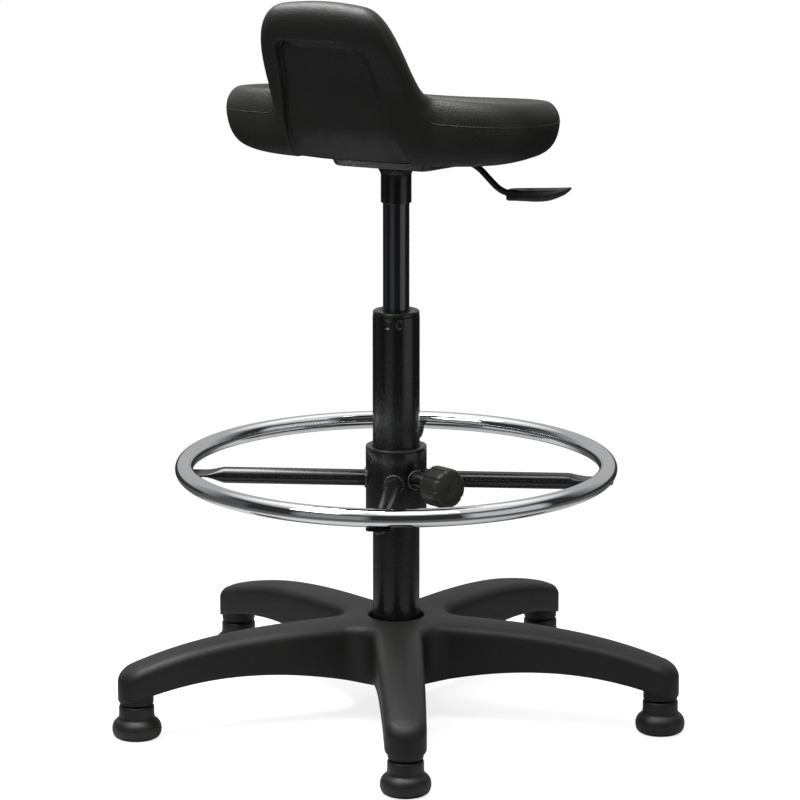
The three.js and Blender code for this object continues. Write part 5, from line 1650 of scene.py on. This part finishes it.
# To the camera's right, towards the camera and up; width and depth in metres; power; the
# height aimed at; colour
LAMPS = {
    "key_lamp": ((300, 900, 2400), (1.2, 0.8), 15, 420, (1, 1, 1)),
    "fill_lamp": ((-700, 700, 1450), (0.6, 0.8), 7, 700, (0.93, 0.96, 1)),
    "top_lamp": ((-330, 40, 1450), (0.7, 0.5), 17, 760, (1, 1, 1)),
}
FLOOR_RADIUS = 1.15
FLOOR_TONES = (0.46, 0.5)
FLOOR_EDGE = 0.08
FLOOR_FADE = (0.38, 0.56)
FLOOR_GLOW = (0.3, 0.6, 0.8, 1.0)  # from and to a distance, the light there
CEILING = (0.6, 0.82, 0.03, 0.75)  # from and to a direction's height, the light there
# Turned right from the camera, half width, and strength
WALL_BANDS = ((60.0, 27.0, 0.5), (-34.0, 22.0, 0.22), (-100.0, 20.0, 0.06))
BAND_FOOT = (-0.5, -0.35)
BAND_HEAD = (0.35, 0.55)
REAR_LIGHT = 0.42
REAR_SPREAD = (0.2, 0.75)
REAR_FOOT = (-0.04, 0.08)


def camera_axes():
    """The camera's right, up and forward directions."""
    turn, pitch = math.radians(CAMERA_TURN), math.radians(CAMERA_PITCH)
    level = Vector((-math.sin(turn), math.cos(turn), 0))
    right = Vector((math.cos(turn), math.sin(turn), 0))
    forward = level * math.cos(pitch) - Vector((0, 0, math.sin(pitch)))
    return right, right.cross(forward), forward


def soft_box(name, where, size, power, aim_height, color):
    """An area lamp placed from the camera's side, in millimetres."""
    side, _, forward = camera_axes()
    level = Vector((forward.x, forward.y, 0)).normalized()
    right, back, height = where
    place = (AXIS + side * right - level * back + Vector((0, 0, height))) * MM
    lamp = bpy.data.lights.new(name, "AREA")
    lamp.shape = "RECTANGLE"
    lamp.size, lamp.size_y = size
    lamp.energy = power
    lamp.color = color
    holder = bpy.data.objects.new(name, lamp)
    holder.location = place
    target = (AXIS + Vector((0, 0, aim_height))) * MM
    holder.rotation_euler = (target - place).to_track_quat("-Z", "Y").to_euler()
    bpy.context.scene.collection.objects.link(holder)


class STOOL_OT_stage(bpy.types.Operator):
    """Sets the camera, the lamps, the pale floor and the white background"""

    bl_idname = "stool.stage"
    bl_label = "Stage"

    def execute(self, context):
        self.camera()
        self.floor()
        self.world()
        for name, values in LAMPS.items():
            soft_box(name, *values)
        context.scene.view_settings.view_transform = "Standard"
        return {"FINISHED"}

    @staticmethod
    def camera():
        """The camera at the photograph's place and angle."""
        right, up, forward = camera_axes()
        aim = AXIS + Vector((0, 0, AIM_HEIGHT))
        scale = CAMERA_DISTANCE / CAMERA_FOCUS
        across = (AIM_PIXEL[0] - FRAME_WIDTH / 2) * scale
        down = (AIM_PIXEL[1] - FRAME_WIDTH / 2) * scale
        place = aim - forward * CAMERA_DISTANCE - right * across + up * down
        data = bpy.data.cameras.new("photo_camera")
        data.sensor_width = SENSOR_WIDTH
        data.lens = CAMERA_FOCUS / FRAME_WIDTH * SENSOR_WIDTH
        data.clip_start, data.clip_end = 0.1, 100.0
        camera = bpy.data.objects.new("photo_camera", data)
        facing = Matrix((right, up, -forward)).transposed()
        camera.matrix_world = Matrix.Translation(place * MM) @ facing.to_4x4()
        bpy.context.scene.collection.objects.link(camera)
        bpy.context.scene.camera = camera

    @staticmethod
    def floor():
        """A round white sweep; away from the stool it shows as plain white."""
        bm = bmesh.new()
        bmesh.ops.create_circle(bm, cap_ends=True, segments=96, radius=FLOOR_RADIUS)
        bmesh.ops.translate(bm, vec=AXIS * MM, verts=bm.verts)
        ground = new_object("studio_floor", bm)
        material, tree, shader = empty_material("pale_floor")
        place = tree.place()
        cloud = tree.noise(place, 1.5, Detail=3.0)
        away = tree.vector("LENGTH", "Value", place)
        tone = tree.blend(cloud, *((grey, grey, grey, 1) for grey in FLOOR_TONES))
        tone = tree.blend(tree.spread(away, *FLOOR_FADE), tone, (*[FLOOR_EDGE] * 3, 1))
        glow = tree.spread(away, *FLOOR_GLOW)
        seen = tree.add("ShaderNodeLightPath").outputs["Is Camera Ray"]
        tree.fill(shader, {
            "Base Color": tone, "Roughness": 0.9, "Specular IOR Level": 0.0,
            "Emission Color": (1, 1, 1, 1), "Emission Strength": tree.math("MULTIPLY", seen, glow),
        })
        ground.data.materials.append(material)

    @staticmethod
    def world():
        """White to the camera; a ceiling, upright bands and a rear light to the rest."""
        sky = bpy.data.worlds.new("studio")
        sky.use_nodes = True
        bpy.context.scene.world = sky
        tree = Tree(sky.node_tree)
        way = tree.add("ShaderNodeTexCoord").outputs["Generated"]
        parts = tree.add("ShaderNodeSeparateXYZ", {"Vector": way}).outputs
        rise = parts["Z"]
        level = tree.add("ShaderNodeCombineXYZ", {"X": parts["X"], "Y": parts["Y"]}).outputs[0]
        level = tree.vector("NORMALIZE", "Vector", level)
        light = tree.spread(rise, *CEILING)
        side, _, forward = camera_axes()
        back = -Vector((forward.x, forward.y, 0)).normalized()
        for turn, width, strength in WALL_BANDS:
            angle, edge = math.radians(turn), math.cos(math.radians(width))
            aim = back * math.cos(angle) + side * math.sin(angle)
            near = tree.vector("DOT_PRODUCT", "Value", level, tuple(aim))
            band = tree.spread(near, edge, (1 + edge) / 2, 0.0, strength)
            span = tree.math("MULTIPLY", tree.spread(rise, *BAND_FOOT),
                             tree.spread(rise, *BAND_HEAD, 1.0, 0.0))
            light = tree.math("ADD", light, tree.math("MULTIPLY", band, span))
        behind = tree.vector("DOT_PRODUCT", "Value", level, tuple(-back))
        behind = tree.spread(behind, *REAR_SPREAD, 0.0, REAR_LIGHT)
        behind = tree.math("MULTIPLY", behind, tree.spread(rise, *REAR_FOOT))
        light = tree.math("ADD", light, behind)
        seen = tree.add("ShaderNodeLightPath").outputs["Is Camera Ray"]
        surface = sky.node_tree.nodes["Background"].inputs
        tree.fill(surface, {"Color": (1, 1, 1, 1), "Strength": tree.math("MAXIMUM", seen, light)})


class STOOL_PT_panel(bpy.types.Panel):
    """Lists the stool's sizes, finishes and pieces"""

    bl_idname = "STOOL_PT_panel"
    bl_label = "Perch stool"
    bl_space_type = "VIEW_3D"
    bl_region_type = "UI"
    bl_category = "Stool"

    def draw(self, context):
        for group in (context.scene.stool_sizes, context.scene.stool_finishes):
            column = self.layout.column()
            for name in group.bl_rna.properties.keys():
                if name not in ("rna_type", "name"):
                    column.prop(group, name)
        for maker in OPERATORS:
            self.layout.operator(maker.bl_idname)


OPERATORS = (
    STOOL_OT_stage,
    STOOL_OT_star_base,
    STOOL_OT_glides,
    STOOL_OT_column,
    STOOL_OT_gas_tube,
    STOOL_OT_foot_ring,
    STOOL_OT_spokes,
    STOOL_OT_collar,
    STOOL_OT_clamp_knob,
    STOOL_OT_seat_plate,
    STOOL_OT_lever,
    STOOL_OT_seat,
    STOOL_OT_inner_parts,
)
CLASSES = (StoolSizes, StoolFinishes, *OPERATORS, STOOL_PT_panel)


def register():
    for item in CLASSES:
        bpy.utils.register_class(item)
    bpy.types.Scene.stool_sizes = PointerProperty(type=StoolSizes)
    bpy.types.Scene.stool_finishes = PointerProperty(type=StoolFinishes)


def unregister():
    del bpy.types.Scene.stool_finishes
    del bpy.types.Scene.stool_sizes
    for item in reversed(CLASSES):
        bpy.utils.unregister_class(item)


def main():
    register()
    for maker in OPERATORS:
        group, name = maker.bl_idname.split(".")
        getattr(getattr(bpy.ops, group), name)()
    bpy.context.view_layer.update()


if __name__ == "__main__":
    main()
